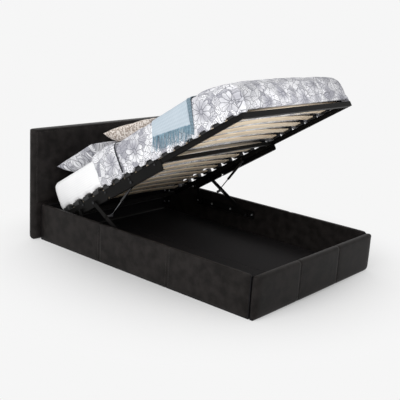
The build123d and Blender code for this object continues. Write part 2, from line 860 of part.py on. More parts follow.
with BuildPart() as right_lower_socket:
    strut_socket(strut_foot, rod_end, strut_length - strut_stud_radius)

with BuildPart() as right_lower_stud:
    disc(strut_eye_inner - stud_clip, arm_inner - running_gap, strut_foot, strut_stud_radius)
    disc(strut_eye_outer, arm_inner - running_gap, strut_foot, stud_collar_radius)
    disc(strut_eye_inner - stud_clip, strut_eye_inner, strut_foot, stud_clip_radius)

with BuildPart() as lower_strut_sockets:
    add(right_lower_socket.part)
    add(right_lower_stud.part)
    mirror(right_lower_socket.part, about=Plane.YZ)
    mirror(right_lower_stud.part, about=Plane.YZ)
keep(lower_strut_sockets, "lower_strut_sockets")

# Slats, bowed upwards, in even steps in the foot and head lengths of the frame
slat_top_rise = slat_end_rise + slat_sheet
foot_pitch = (cross_bar_middle - end_bar_width * 3 / 2) / foot_slats
head_pitch = (platform_length - cross_bar_middle - end_bar_width * 3 / 2) / head_slats
slat_runs = [end_bar_width + (i + 0.5) * foot_pitch for i in range(foot_slats)]
slat_runs += [cross_bar_middle + end_bar_width / 2 + (i + 0.5) * head_pitch for i in range(head_slats)]

for number, run in enumerate(slat_runs, start=1):
    with BuildPart() as slat:
        with BuildSketch(bed_cross(run - slat_width / 2)):
            with BuildLine():
                bottom_bow = (0, slat_end_rise + slat_bow)
                ThreePointArc((-slat_half_span, slat_end_rise), bottom_bow, (slat_half_span, slat_end_rise))
                Line((slat_half_span, slat_end_rise), (slat_half_span, slat_top_rise))
                top_bow = (0, slat_top_rise + slat_bow)
                ThreePointArc((slat_half_span, slat_top_rise), top_bow, (-slat_half_span, slat_top_rise))
                Line((-slat_half_span, slat_top_rise), (-slat_half_span, slat_end_rise))
            make_face()
        extrude(amount=-slat_width)
    keep(slat, f"slat_{number:02d}")

# Slat holders: a moulded pocket on the side tube at each slat end
with BuildPart() as right_slat_holders:
    for run in slat_runs:
        with BuildSketch(bed_side(holder_inner)) as shape:
            with BuildLine():
                Polyline(
                    (run - holder_base / 2, tube_depth),
                    (run + holder_base / 2, tube_depth),
                    (run + holder_top / 2, tube_depth + holder_height),
                    (run - holder_top / 2, tube_depth + holder_height),
                    close=True,
                )
            make_face()
            fillet(shape.vertices().group_by(Axis.Y)[-1], holder_corner)
        extrude(amount=holder_length)
        pocket_height = slat_sheet + holder_pocket_spare
        with BuildSketch(bed_side(holder_inner)):
            with Locations((run, slat_end_rise - holder_pocket_slack + pocket_height / 2)):
                Rectangle(slat_width + 2 * running_gap, pocket_height)
        extrude(amount=holder_pocket_depth, mode=Mode.SUBTRACT)
keep(right_slat_holders, "right_slat_holders")
left_slat_holders = mirrored(right_slat_holders)
keep(left_slat_holders, "left_slat_holders")

# Mattress, on the crowns of the slats
mattress_bottom = slat_top_rise + slat_bow + running_gap
mattress_top = mattress_bottom + mattress_height

with BuildPart() as mattress:
    with BuildSketch(bed_level(mattress_bottom)):
        with Locations((0, mattress_foot_run + mattress_length / 2)):
            RectangleRounded(mattress_width, mattress_length, mattress_corner)
    extrude(amount=mattress_height)
    rims = mattress.faces().sort_by(Axis(bed_origin(0, 0, 0), upward))
    fillet(rims[0].edges() + rims[-1].edges(), mattress_edge)
keep(mattress, "mattress")


def cover_outline(half, hem, shoulder_rise, crown, shoulder):
    """The outer line of bedding over the mattress, from its left hem to its right hem."""
    bend = shoulder * (1 - cos(pi / 4))
    side_top = shoulder_rise - shoulder
    flat_half = half - shoulder
    Line((-half, hem), (-half, side_top))
    ThreePointArc((-half, side_top), (-half + bend, shoulder_rise - bend), (-flat_half, shoulder_rise))
    ThreePointArc((-flat_half, shoulder_rise), (0, shoulder_rise + crown), (flat_half, shoulder_rise))
    ThreePointArc((flat_half, shoulder_rise), (half - bend, shoulder_rise - bend), (half, side_top))
    Line((half, side_top), (half, hem))


def cover_section(run, half, hem, shoulder_rise, crown, inner_half, inner_rise):
    """A slice across bedding that hangs over both sides of the mattress."""
    inner_shoulder = mattress_edge
    bend = inner_shoulder * (1 - cos(pi / 4))
    side_top = inner_rise - inner_shoulder
    flat_half = inner_half - inner_shoulder
    with BuildSketch(bed_cross(run)) as slice_across:
        with BuildLine():
            cover_outline(half, hem, shoulder_rise, crown, duvet_shoulder)
            Line((half, hem), (inner_half, hem))
            Line((inner_half, hem), (inner_half, side_top))
            bend_half, bend_rise = inner_half - bend, inner_rise - bend
            ThreePointArc((inner_half, side_top), (bend_half, bend_rise), (flat_half, inner_rise))
            Line((flat_half, inner_rise), (-flat_half, inner_rise))
            ThreePointArc((-flat_half, inner_rise), (-bend_half, bend_rise), (-inner_half, side_top))
            Line((-inner_half, side_top), (-inner_half, hem))
            Line((-inner_half, hem), (-half, hem))
        make_face()
    return slice_across.sketch


# Duvet: over the top, both sides and the foot of the mattress, with upright folds in its sides
duvet_half = mattress_half + duvet_side
duvet_inner_half = mattress_half + running_gap
duvet_inner_rise = mattress_top + running_gap
duvet_calm_start = throw_start_run - throw_margin
duvet_calm_end = throw_end_run + throw_margin
fold_step_share = 0.25


def duvet_section(run, half, hem, rise):
    return cover_section(run, half, hem, rise, duvet_crown, duvet_inner_half, duvet_inner_rise)


def duvet_slices(start, end, rise_start, rise_end, calm):
    """Slices of a length of duvet whose folds die out where the throw presses on it."""
    count = max(2, round((end - start) / (duvet_fold_pitch * fold_step_share)))
    slices = []
    for place in range(count + 1):
        share = place / count
        run = start + share * (end - start)
        fade = share if calm == start else 1 - share
        wave = duvet_fold * min(1, 3 * fade) * sin(2 * pi * (run - calm) / duvet_fold_pitch)
        rise = rise_start + share * (rise_end - rise_start)
        hem = duvet_hem_rise + wave / 2
        slices.append(duvet_section(run, duvet_half + wave, hem, rise))
    return slices


with BuildPart() as duvet_foot_length:
    foot_start = mattress_foot_run - running_gap
    loft(duvet_slices(foot_start, duvet_calm_start, duvet_foot_rise, duvet_middle_rise, duvet_calm_start))

with BuildPart() as duvet_calm_length:
    calm_section = duvet_section(duvet_calm_start, duvet_half, duvet_hem_rise, duvet_middle_rise)
    extrude(calm_section, amount=duvet_calm_start - duvet_calm_end)

with BuildPart() as duvet_head_length:
    loft(duvet_slices(duvet_calm_end, duvet_end_run, duvet_middle_rise, duvet_head_rise, duvet_calm_end))

with BuildPart() as duvet_turnback:
    turnback_runs = (duvet_end_run, (duvet_end_run + turnback_end_run) / 2, turnback_end_run)
    turnback_halves = (mattress_half + duvet_side, mattress_half + turnback_side, mattress_half + duvet_side)
    turnback_rises = ((duvet_head_rise + turnback_rise) / 2, turnback_rise, turnback_rise)
    turnback = zip(turnback_runs, turnback_halves, turnback_rises)
    loft([duvet_section(run, half, turnback_hem_rise, rise) for run, half, rise in turnback])


def foot_flap_outline(run, inset):
    with BuildSketch(bed_cross(run)) as outline:
        with BuildLine():
            half = duvet_half - inset
            cover_outline(half, duvet_hem_rise, duvet_foot_rise - inset, duvet_crown, duvet_shoulder)
            Line((half, duvet_hem_rise), (-half, duvet_hem_rise))
        make_face()
    return outline.sketch


with BuildPart() as duvet_foot_flap:
    flap_back = foot_flap_outline(mattress_foot_run - running_gap, 0)
    flap_middle = foot_flap_outline(mattress_foot_run - duvet_foot / 2, duvet_foot / 6)
    flap_front = foot_flap_outline(mattress_foot_run - duvet_foot, duvet_foot / 2)
    loft([flap_back, flap_middle, flap_front])

with BuildPart() as duvet:
    add(duvet_foot_flap.part)
    add(duvet_foot_length.part)
    add(duvet_calm_length.part)
    add(duvet_head_length.part)
    add(duvet_turnback.part)
keep(duvet, "duvet")

# Throw: a woven band across the duvet, with a fringe along each end
# Its ends hang straight down, so on the tilted platform they lean towards the head
throw_inner_half = duvet_half + running_gap
throw_half = throw_inner_half + throw_sheet
throw_top_rise = duvet_middle_rise + running_gap
throw_bend_rise = duvet_middle_rise - duvet_shoulder - throw_sheet


def throw_section(run):
    """A slice of the throw's top, the duvet's own outer line set out by the gap and the cloth."""
    inner_shoulder = duvet_shoulder + running_gap
    outer_rise = throw_top_rise + throw_sheet
    with BuildSketch(bed_cross(run)) as slice_across:
        with BuildLine():
            cover_outline(throw_half, throw_bend_rise, outer_rise, duvet_crown, inner_shoulder + throw_sheet)
            Line((throw_half, throw_bend_rise), (-throw_half, throw_bend_rise))
        make_face()
        with BuildLine():
            hem = throw_bend_rise - overrun
            cover_outline(throw_inner_half, hem, throw_top_rise, duvet_crown, inner_shoulder)
            Line((throw_inner_half, hem), (-throw_inner_half, hem))
        make_face(mode=Mode.SUBTRACT)
    return slice_across.sketch


def lean(rise):
    """How far the hanging cloth has moved towards the head at a rise under the bend."""
    return (throw_bend_rise - rise) * tan(radians(throw_lean))


def hanging_cloth(side, start, end, top, bottom, taper):
    """A leaning flat piece on one side, its lower edge narrowed at both corners by the taper."""
    with BuildSketch(bed_side(side * throw_inner_half)) as outline:
        with BuildLine():
            Polyline(
                (start + lean(top), top),
                (end + lean(top), top),
                (end + lean(bottom) - taper, bottom),
                (start + lean(bottom) + taper, bottom),
                close=True,
            )
        make_face()
    extrude(outline.sketch, amount=side * throw_sheet)


with BuildPart() as throw:
    extrude(throw_section(throw_start_run), amount=throw_start_run - throw_end_run)
    for side in (-1, 1):
        hanging_cloth(side, throw_start_run, throw_end_run, throw_bend_rise, throw_hem_rise, 0)
keep(throw, "throw")

fringe_count = int((throw_end_run - throw_start_run) / fringe_pitch)
fringe_top = throw_hem_rise - fringe_header
fringe_taper = (fringe_width - fringe_tip) / 2

with BuildPart() as throw_fringe:
    for side in (-1, 1):
        hanging_cloth(side, throw_start_run, throw_end_run, throw_hem_rise, fringe_top, 0)
        for place in range(fringe_count):
            start = throw_start_run + place * fringe_pitch + (fringe_pitch - fringe_width) / 2
            bottom = throw_hem_rise - fringe_length
            hanging_cloth(side, start, start + fringe_width, fringe_top, bottom, fringe_taper)
keep(throw_fringe, "throw_fringe")


def pillow(level, length, width, thickness):
    """A crowned closed form with its sides drawn in between four corners."""
    with BuildPart() as form:
        for rise_share, size_share in pillow_section_shares:
            x, y = length / 2 * size_share, width / 2 * size_share
            waist_x, waist_y = x * (1 - pillow_draw_share), y * (1 - pillow_draw_share)
            with BuildSketch(level.offset(rise_share * thickness / 2)):
                with BuildLine():
                    ThreePointArc((-x, -y), (0, -waist_y), (x, -y))
                    ThreePointArc((x, -y), (waist_x, 0), (x, y))
                    ThreePointArc((x, y), (0, waist_y), (-x, y))
                    ThreePointArc((-x, y), (-waist_x, 0), (-x, -y))
                make_face()
        loft()
    return form


pillow_rise = mattress_top + running_gap + pillow_thickness / 2

for pillow_x, node in ((pillow_offset, "far_pillow"), (-pillow_offset, "near_pillow")):
    place = bed_origin(pillow_x, pillow_middle_run, pillow_rise)
    level = Plane(origin=place, x_dir=(1, 0, 0), z_dir=upward)
    keep(pillow(level, pillow_length, pillow_width, pillow_thickness), node)

cushion_rise = turnback_rise + duvet_crown + turnback_swell + running_gap + cushion_thickness / 2
cushion_plane = Plane(
    origin=bed_origin(cushion_offset, cushion_middle_run, cushion_rise),
    x_dir=(cos(radians(cushion_turn)), *(sin(radians(cushion_turn)) * value for value in along[1:])),
    z_dir=upward,
)
cushion = pillow(cushion_plane, cushion_size, cushion_size, cushion_thickness)
keep(cushion, "cushion")

# Places and travels that the joints use
joint_places = {
    "front pivot": front_pivot,
    "arm top": arm_top,
    "rear pivot": rear_pivot,
    "rear link top": link_top,
    "strut top": strut_top,
    "strut foot": strut_foot,
    "platform foot edge": open_edge,
}
for name, place in joint_places.items():
    print(f"{name}: y {place[0]:.3f}, z {place[1]:.3f}")
arm_turn = arm_angle_closed - arm_angle_open
print(f"arm turn {arm_turn:.3f}, platform on arm {platform_tilt - arm_turn:.3f}")
print(f"rear link turn {link_angle_shut - link_angle:.4f}, strut on platform {strut_turn:.4f}")
print(f"strut angle {strut_angle:.4f}, strut length {strut_length:.3f} to {strut_length_shut:.3f}")
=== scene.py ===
# Ottoman bed with its platform raised: finishes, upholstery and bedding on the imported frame.
# Metres. Pieces on the platform are made flat, as X across, Y run from its foot and Z rise, then set on it.
import bpy
import math
import random
from mathutils import Matrix, Vector, noise


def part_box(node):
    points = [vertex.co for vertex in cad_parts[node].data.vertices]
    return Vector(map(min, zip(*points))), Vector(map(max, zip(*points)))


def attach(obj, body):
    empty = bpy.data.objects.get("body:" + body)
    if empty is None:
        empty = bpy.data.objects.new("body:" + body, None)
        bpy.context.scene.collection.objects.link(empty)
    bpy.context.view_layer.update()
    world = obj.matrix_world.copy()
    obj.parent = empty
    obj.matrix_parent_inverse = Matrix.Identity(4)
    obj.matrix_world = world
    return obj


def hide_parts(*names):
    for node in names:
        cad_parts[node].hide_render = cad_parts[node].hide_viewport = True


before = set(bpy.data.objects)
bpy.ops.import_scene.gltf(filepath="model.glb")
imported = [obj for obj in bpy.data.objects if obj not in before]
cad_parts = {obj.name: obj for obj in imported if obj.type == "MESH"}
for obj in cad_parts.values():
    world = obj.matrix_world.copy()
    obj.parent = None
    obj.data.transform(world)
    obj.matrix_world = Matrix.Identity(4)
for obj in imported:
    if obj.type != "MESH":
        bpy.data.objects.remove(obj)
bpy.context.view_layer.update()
random.seed(7)


# Small tools

def linear(hexColour):
    # From an sRGB hex colour to the linear values that a socket takes
    channels = [int(hexColour[i:i + 2], 16) / 255 for i in (1, 3, 5)]
    return [c / 12.92 if c <= 0.04045 else ((c + 0.055) / 1.055) ** 2.4 for c in channels] + [1.0]


def clamp(share):
    return max(0.0, min(1.0, share))


def pickOnly(piece):
    if bpy.context.object and bpy.context.object.mode != "OBJECT":
        bpy.ops.object.mode_set(mode="OBJECT")
    bpy.ops.object.select_all(action="DESELECT")
    if piece:
        piece.select_set(True)
        bpy.context.view_layer.objects.active = piece


def applyModifier(piece, kind, **settings):
    pickOnly(piece)
    modifier = piece.modifiers.new(kind.lower(), kind)
    for key, value in settings.items():
        setattr(modifier, key, value)
    bpy.ops.object.modifier_apply(modifier=modifier.name)


def subdivide(piece):
    applyModifier(piece, "SUBSURF", levels=1, render_levels=1)


def startBox(name, low, high):
    pickOnly(None)
    middle = [(a + b) / 2 for a, b in zip(low, high)]
    bpy.ops.mesh.primitive_cube_add(size=1, location=middle)
    piece = bpy.context.object
    piece.name = name
    piece.scale = [b - a for a, b in zip(low, high)]
    bpy.ops.object.transform_apply(location=True, rotation=True, scale=True)
    return piece


def editFaces(piece, test):
    # Leaves the piece in edit mode with the faces that pass the test selected
    pickOnly(piece)
    bpy.ops.object.mode_set(mode="EDIT")
    bpy.ops.mesh.select_mode(type="FACE")
    bpy.ops.mesh.select_all(action="DESELECT")
    bpy.ops.object.mode_set(mode="OBJECT")
    for face in piece.data.polygons:
        face.select = test(face)
    bpy.ops.object.mode_set(mode="EDIT")


def cutAway(piece, test):
    editFaces(piece, test)
    bpy.ops.mesh.delete(type="FACE")
    bpy.ops.object.mode_set(mode="OBJECT")


def bevelEdges(piece, test, width, segments):
    pickOnly(piece)
    bpy.ops.object.mode_set(mode="EDIT")
    bpy.ops.mesh.select_mode(type="EDGE")
    bpy.ops.mesh.select_all(action="DESELECT")
    bpy.ops.object.mode_set(mode="OBJECT")
    points = piece.data.vertices
    for edge in piece.data.edges:
        edge.select = test(points[edge.vertices[0]].co, points[edge.vertices[1]].co)
    bpy.ops.object.mode_set(mode="EDIT")
    bpy.ops.mesh.bevel(offset=width, segments=segments, affect="EDGES")
    bpy.ops.object.mode_set(mode="OBJECT")


def cutAcross(piece, axis, places):
    # Loops round the piece, square to one axis, for its shape to bend along
    pickOnly(piece)
    bpy.ops.object.mode_set(mode="EDIT")
    for place in places:
        bpy.ops.mesh.select_all(action="SELECT")
        point, normal = [0, 0, 0], [0, 0, 0]
        point[axis], normal[axis] = place, 1
        bpy.ops.mesh.bisect(plane_co=point, plane_no=normal)
    bpy.ops.object.mode_set(mode="OBJECT")


def reshape(piece, move):
    for vertex in piece.data.vertices:
        vertex.co = move(vertex.co)
    piece.data.update()


def smoothByAngle(piece, angle):
    pickOnly(piece)
    bpy.ops.object.shade_smooth_by_angle(angle=math.radians(angle))


def copyOf(source, matrix=None):
    copy = source.copy()
    copy.data = source.data.copy()
    if matrix is not None:
        copy.data.transform(matrix)
    bpy.context.collection.objects.link(copy)
    return copy


def joinCopies(source, copies, name, material):
    # The placed copies become one piece, and the source that they were taken from goes
    bpy.data.objects.remove(source)
    pickOnly(copies[0])
    for copy in copies:
        copy.select_set(True)
    bpy.ops.object.join()
    joined = bpy.context.object
    joined.name = name
    joined.data.materials.append(material)
    return joined


def evenSteps(start, end, pitch):
    count = max(1, round((end - start) / pitch))
    return [start + (end - start) * i / count for i in range(1, count)]


def hump(share):
    # 1 in the middle of a span and 0 at its ends
    return max(0.0, 1 - abs(2 * share - 1) ** 4)


# The platform's own axes, read from its foot and head bars

def middleOf(node):
    low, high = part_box(node)
    return Vector([(a + b) / 2 for a, b in zip(low, high)])


platform = {"barMiddleRun": 0.015, "barMiddleRise": 0.0175}
along = (middleOf("head_bar") - middleOf("foot_bar")).normalized()
upward = Vector((1, 0, 0)).cross(along)
edge = middleOf("foot_bar") - along * platform["barMiddleRun"] - upward * platform["barMiddleRise"]
platformMatrix = Matrix.Translation(edge) @ Matrix(((1, 0, 0), along, upward)).transposed().to_4x4()


def setOnPlatform(piece):
    piece.data.transform(platformMatrix)
    piece.data.update()


# Materials

def addNode(tree, kind, settings=None, links=None):
    node = tree.nodes.new("ShaderNode" + kind)
    for name, value in {**(settings or {}), **(links or {})}.items():
        if isinstance(value, bpy.types.NodeSocket):
            tree.links.new(value, node.inputs[name])
        elif isinstance(name, str) and hasattr(node, name):
            setattr(node, name, value)
        else:
            node.inputs[name].default_value = value
    return node


def newMaterial(name, settings):
    material = bpy.data.materials.new(name)
    material.use_nodes = True
    shader = material.node_tree.nodes["Principled BSDF"]
    for key, value in settings.items():
        shader.inputs[key].default_value = value
    return material, material.node_tree, shader


def linkAll(tree, shader, sources):
    for name, source in sources.items():
        tree.links.new(source, shader.inputs[name])


def twoTones(tree, factor, low, high, positions=(0.35, 0.65)):
    ramp = addNode(tree, "ValToRGB", links={0: factor})
    for element, place, colour in zip(ramp.color_ramp.elements, positions, (low, high)):
        element.position = place
        element.color = linear(colour)
    return ramp.outputs["Color"]


def objectCoordinates(tree, turn=(0, 0, 0), scale=(1, 1, 1)):
    source = addNode(tree, "TexCoord").outputs["Object"]
    return addNode(tree, "Mapping", {"Rotation": turn, "Scale": scale}, {"Vector": source}).outputs[0]


leather = {"light": "#272423", "dark": "#191716", "pebbleMm": 5.0, "creaseMm": 60, "roughness": 0.46}


def makeFauxLeather():
    # Embossed PVC over foam: a soft satin gloss, with pebbles drawn a little coarse so that they show
    material, tree, shader = newMaterial("embossedPvcLeather", {"Specular IOR Level": 0.08})
    place = objectCoordinates(tree)
    clouds = addNode(tree, "TexNoise", {"Scale": 1000 / leather["creaseMm"], "Detail": 6.0}, {"Vector": place})
    colour = twoTones(tree, clouds.outputs[0], leather["dark"], leather["light"])
    gloss = addNode(tree, "MapRange", {3: leather["roughness"] - 0.08, 4: leather["roughness"] + 0.12},
                    {0: clouds.outputs[0]})
    pebbles = addNode(tree, "TexVoronoi", {"feature": "SMOOTH_F1", "Scale": 1000 / leather["pebbleMm"]},
                      {"Vector": place})
    grain = addNode(tree, "Bump", {"Strength": 0.25, "Distance": 0.0006},
                    {"Height": pebbles.outputs["Distance"]})
    folds = addNode(tree, "TexNoise", {"Scale": 9.0, "Detail": 3.0, "Distortion": 0.6}, {"Vector": place})
    bump = addNode(tree, "Bump", {"Strength": 0.22, "Distance": 0.006},
                   {"Height": folds.outputs[0], "Normal": grain.outputs[0]})
    linkAll(tree, shader, {"Base Color": colour, "Roughness": gloss.outputs[0], "Normal": bump.outputs[0]})
    return material


def makeSpeckledFinish(name, dark, light, roughness, speckMm, depthMm, settings=None):
    # A flat finish with its own fine texture: coating, lining, moulding or plating
    material, tree, shader = newMaterial(name, settings or {})
    place = objectCoordinates(tree)
    fine = addNode(tree, "TexNoise", {"Scale": 1000 / speckMm, "Detail": 4.0}, {"Vector": place})
    broad = addNode(tree, "TexNoise", {"Scale": 4.0, "Detail": 3.0}, {"Vector": place})
    both = addNode(tree, "Math", {"operation": "MULTIPLY_ADD", 1: 0.5}, {0: fine.outputs[0]})
    half = addNode(tree, "Math", {"operation": "MULTIPLY", 1: 0.5}, {0: broad.outputs[0]})
    tree.links.new(half.outputs[0], both.inputs[2])
    colour = twoTones(tree, both.outputs[0], dark, light)
    gloss = addNode(tree, "MapRange", {3: roughness - 0.06, 4: roughness + 0.1}, {0: broad.outputs[0]})
    bump = addNode(tree, "Bump", {"Strength": 0.3, "Distance": depthMm / 1000}, {"Height": fine.outputs[0]})
    linkAll(tree, shader, {"Base Color": colour, "Roughness": gloss.outputs[0], "Normal": bump.outputs[0]})
    return material


beech = {"pale": "#e0d1b9", "brown": "#bfa485", "grainMm": 9.0, "grainStretch": 0.04}


def makeBeech():
    # Bonded beech veneers: pale tan, with brown grain along each slat and broad changes of tone
    material, tree, shader = newMaterial("bondedBeech", {"Roughness": 0.55, "Specular IOR Level": 0.3})
    turn = (-math.atan2(along.z, along.y), 0, 0)
    place = objectCoordinates(tree, turn, (beech["grainStretch"], 1, 1))
    grain = addNode(tree, "TexNoise", {"Scale": 1000 / beech["grainMm"], "Detail": 5.0, "Distortion": 0.8},
                    {"Vector": place})
    boards = addNode(tree, "TexNoise", {"Scale": 11.0, "Detail": 1.0}, {"Vector": place})
    mixed = addNode(tree, "Mix", {0: 0.45}, {2: grain.outputs[0], 3: boards.outputs[0]})
    colour = twoTones(tree, mixed.outputs[0], beech["brown"], beech["pale"], (0.3, 0.56))
    bump = addNode(tree, "Bump", {"Strength": 0.2, "Distance": 0.0006}, {"Height": grain.outputs[0]})
    linkAll(tree, shader, {"Base Color": colour, "Normal": bump.outputs[0]})
    return material


cotton = {
    "white": "#ececef", "wash": "#a9a9b1", "line": "#66676f", "wobbleMm": 26, "washMm": 120, "lineMm": 2.2,
    "flowerMm": 205, "petalMm": 84, "petals": 11, "eyeMm": 14, "leafMm": 62, "veinMm": 17,
}


def makePrintedCotton(name, white, wash, line):
    # Printed cotton: round flowers among veined leaves, in a grey line wide enough to show, over pale washes
    material, tree, shader = newMaterial(name, {"Roughness": 0.85, "Specular IOR Level": 0.2,
                                                "Sheen Weight": 0.1})
    place = addNode(tree, "UVMap", {"uv_map": "cloth"}).outputs[0]
    wobble = addNode(tree, "TexNoise", {"Scale": 8.0, "Detail": 2.0}, {"Vector": place})
    reach = 2 * cotton["wobbleMm"] / 1000
    shift = addNode(tree, "VectorMath", {"operation": "MULTIPLY", 1: (reach, reach, 0)},
                    {0: wobble.outputs["Color"]})
    drawn = addNode(tree, "VectorMath", {"operation": "ADD"}, {0: place, 1: shift.outputs[0]}).outputs[0]
    known = {}
    for key, mm, spread in (("flower", cotton["flowerMm"], 0.75), ("leaf", cotton["leafMm"], 1.0)):
        layout = {"voronoi_dimensions": "2D", "Scale": 1000 / mm, "Randomness": spread}
        cells = addNode(tree, "TexVoronoi", layout, {"Vector": drawn})
        spoke = addNode(tree, "VectorMath", {"operation": "SUBTRACT"}, {0: drawn, 1: cells.outputs["Position"]})
        parts = addNode(tree, "SeparateXYZ", links={0: spoke.outputs[0]}).outputs
        known[key + "X"], known[key + "Y"] = parts[0], parts[1]
        length = addNode(tree, "VectorMath", {"operation": "LENGTH"}, {0: spoke.outputs[0]})
        known[key + "Reach"] = length.outputs["Value"]
        known[key + "Chance"] = addNode(tree, "SeparateColor", links={0: cells.outputs["Color"]}).outputs[0]
    # The last layout is that of the leaves
    rims = addNode(tree, "TexVoronoi", {**layout, "feature": "DISTANCE_TO_EDGE"}, {"Vector": drawn})
    known["leafRim"] = rims.outputs["Distance"]
    lineWidth, petal, eye = (cotton[key] / 1000 for key in ("lineMm", "petalMm", "eyeMm"))
    steps = [
        ("angle", "ARCTAN2", "flowerY", "flowerX"),
        ("turned", "MULTIPLY_ADD", "flowerChance", 2 * math.pi, "angle"),
        ("petalTurn", "MULTIPLY", "turned", cotton["petals"] / 2),
        ("lobe", "COSINE", "petalTurn"), ("lobeSize", "ABSOLUTE", "lobe"),
        ("petalEnd", "MULTIPLY_ADD", "lobeSize", petal * 0.28, petal * 0.72),
        ("inFlower", "LESS_THAN", "flowerReach", "petalEnd"),
        ("fromEnd", "SUBTRACT", "flowerReach", "petalEnd"), ("endGap", "ABSOLUTE", "fromEnd"),
        ("outline", "LESS_THAN", "endGap", lineWidth),
        ("fromSide", "MULTIPLY", "lobeSize", "flowerReach"),
        ("sideLine", "LESS_THAN", "fromSide", lineWidth * cotton["petals"] / 2),
        ("outOfEye", "GREATER_THAN", "flowerReach", eye), ("petalLine", "MULTIPLY", "sideLine", "outOfEye"),
        ("fromEye", "SUBTRACT", "flowerReach", eye), ("eyeGap", "ABSOLUTE", "fromEye"),
        ("eyeLine", "LESS_THAN", "eyeGap", lineWidth), ("flowerLine", "MAXIMUM", "petalLine", "eyeLine"),
        ("shownFlower", "MULTIPLY", "flowerLine", "inFlower"),
        ("drawnFlower", "MAXIMUM", "shownFlower", "outline"),
        ("leafTurn", "MULTIPLY", "leafChance", 2 * math.pi),
        ("cosine", "COSINE", "leafTurn"), ("sine", "SINE", "leafTurn"),
        ("a", "MULTIPLY", "leafX", "cosine"), ("alongLeaf", "MULTIPLY_ADD", "leafY", "sine", "a"),
        ("b", "MULTIPLY", "leafX", "sine"), ("c", "MULTIPLY", "leafY", "cosine"), ("d", "SUBTRACT", "c", "b"),
        ("acrossLeaf", "ABSOLUTE", "d"), ("rib", "LESS_THAN", "acrossLeaf", lineWidth * 0.7),
        ("slant", "ADD", "alongLeaf", "acrossLeaf"),
        ("veinTurn", "MULTIPLY", "slant", 2000 * math.pi / cotton["veinMm"]), ("vein", "SINE", "veinTurn"),
        ("veinLine", "GREATER_THAN", "vein", 0.55), ("veins", "MULTIPLY", "veinLine", 0.7),
        ("leafEdge", "LESS_THAN", "leafRim", 0.7 * cotton["lineMm"] / cotton["leafMm"]),
        ("ribbed", "MAXIMUM", "rib", "veins"), ("leafLine", "MAXIMUM", "ribbed", "leafEdge"),
        ("outFlower", "SUBTRACT", 1.0, "inFlower"), ("shownLeaf", "MULTIPLY", "leafLine", "outFlower"),
        ("lines", "MAXIMUM", "drawnFlower", "shownLeaf"), ("ink", "MULTIPLY", "lines", 0.85),
        ("paleLeaf", "MULTIPLY", "leafChance", "outFlower"), ("toneLeaf", "MULTIPLY", "paleLeaf", 0.4),
        ("rimShare", "DIVIDE", "flowerReach", "petalEnd"), ("palePetal", "MULTIPLY", "rimShare", "inFlower"),
        ("tonePattern", "MULTIPLY_ADD", "palePetal", 0.22, "toneLeaf"),
    ]
    for key, operation, *terms in steps:
        terms = {i: known.get(term, term) for i, term in enumerate(terms)}
        known[key] = addNode(tree, "Math", {"operation": operation}, terms).outputs[0]
    clouds = addNode(tree, "TexNoise", {"Scale": 1000 / cotton["washMm"], "Detail": 3.0}, {"Vector": drawn})
    tone = addNode(tree, "Math", {"operation": "MULTIPLY_ADD", 1: 0.8},
                   {0: clouds.outputs[0], 2: known["tonePattern"]})
    ground = twoTones(tree, tone.outputs[0], wash, white, (0.44, 0.68))
    inked = addNode(tree, "Mix", {"data_type": "RGBA", 7: linear(line)}, {0: known["ink"], 6: ground})
    creases = addNode(tree, "TexNoise", {"Scale": 16.0, "Detail": 5.0, "Distortion": 1.2}, {"Vector": place})
    bump = addNode(tree, "Bump", {"Strength": 0.4, "Distance": 0.005}, {"Height": creases.outputs[0]})
    linkAll(tree, shader, {"Base Color": inked.outputs[2], "Normal": bump.outputs[0]})
    return material


# How many half bands to the unit a wave texture of scale 1 shows; each is one thread
halfBands = 6.28


def makeWovenCloth(name, dark, light, threadMm, depthMm, creaseMm, sheen):
    # Woven cloth: two sets of threads, drawn coarse enough to show, and soft creases
    material, tree, shader = newMaterial(name, {"Roughness": 0.9, "Specular IOR Level": 0.15,
                                                "Sheen Weight": sheen})
    place = addNode(tree, "UVMap", {"uv_map": "cloth"}).outputs[0]
    waves = {"Scale": 1000 / threadMm / halfBands, "Distortion": 0.8}
    warp, weft = (addNode(tree, "TexWave", {**waves, "bands_direction": way}, {"Vector": place})
                  for way in "XY")
    weave = addNode(tree, "Mix", {0: 0.5}, {2: warp.outputs["Fac"], 3: weft.outputs["Fac"]})
    clouds = addNode(tree, "TexNoise", {"Scale": 6.0, "Detail": 4.0}, {"Vector": place})
    tone = addNode(tree, "Mix", {0: 0.6}, {2: weave.outputs[0], 3: clouds.outputs[0]})
    colour = twoTones(tree, tone.outputs[0], dark, light)
    creases = addNode(tree, "TexNoise", {"Scale": 1000 / creaseMm, "Detail": 4.0, "Distortion": 1.0},
                      {"Vector": place})
    soft = addNode(tree, "Bump", {"Strength": 0.3, "Distance": 0.004}, {"Height": creases.outputs[0]})
    bump = addNode(tree, "Bump", {"Strength": 0.3, "Distance": depthMm / 1000},
                   {"Height": weave.outputs[0], "Normal": soft.outputs[0]})
    linkAll(tree, shader, {"Base Color": colour, "Normal": bump.outputs[0]})
    return material


boucle = {"dark": "#a3958a", "light": "#ebe3db", "loopMm": 9.0, "fleckMm": 13.0}
yarn = {"dark": "#5f7f92", "light": "#a7c0cd", "twistScale": 60.0}


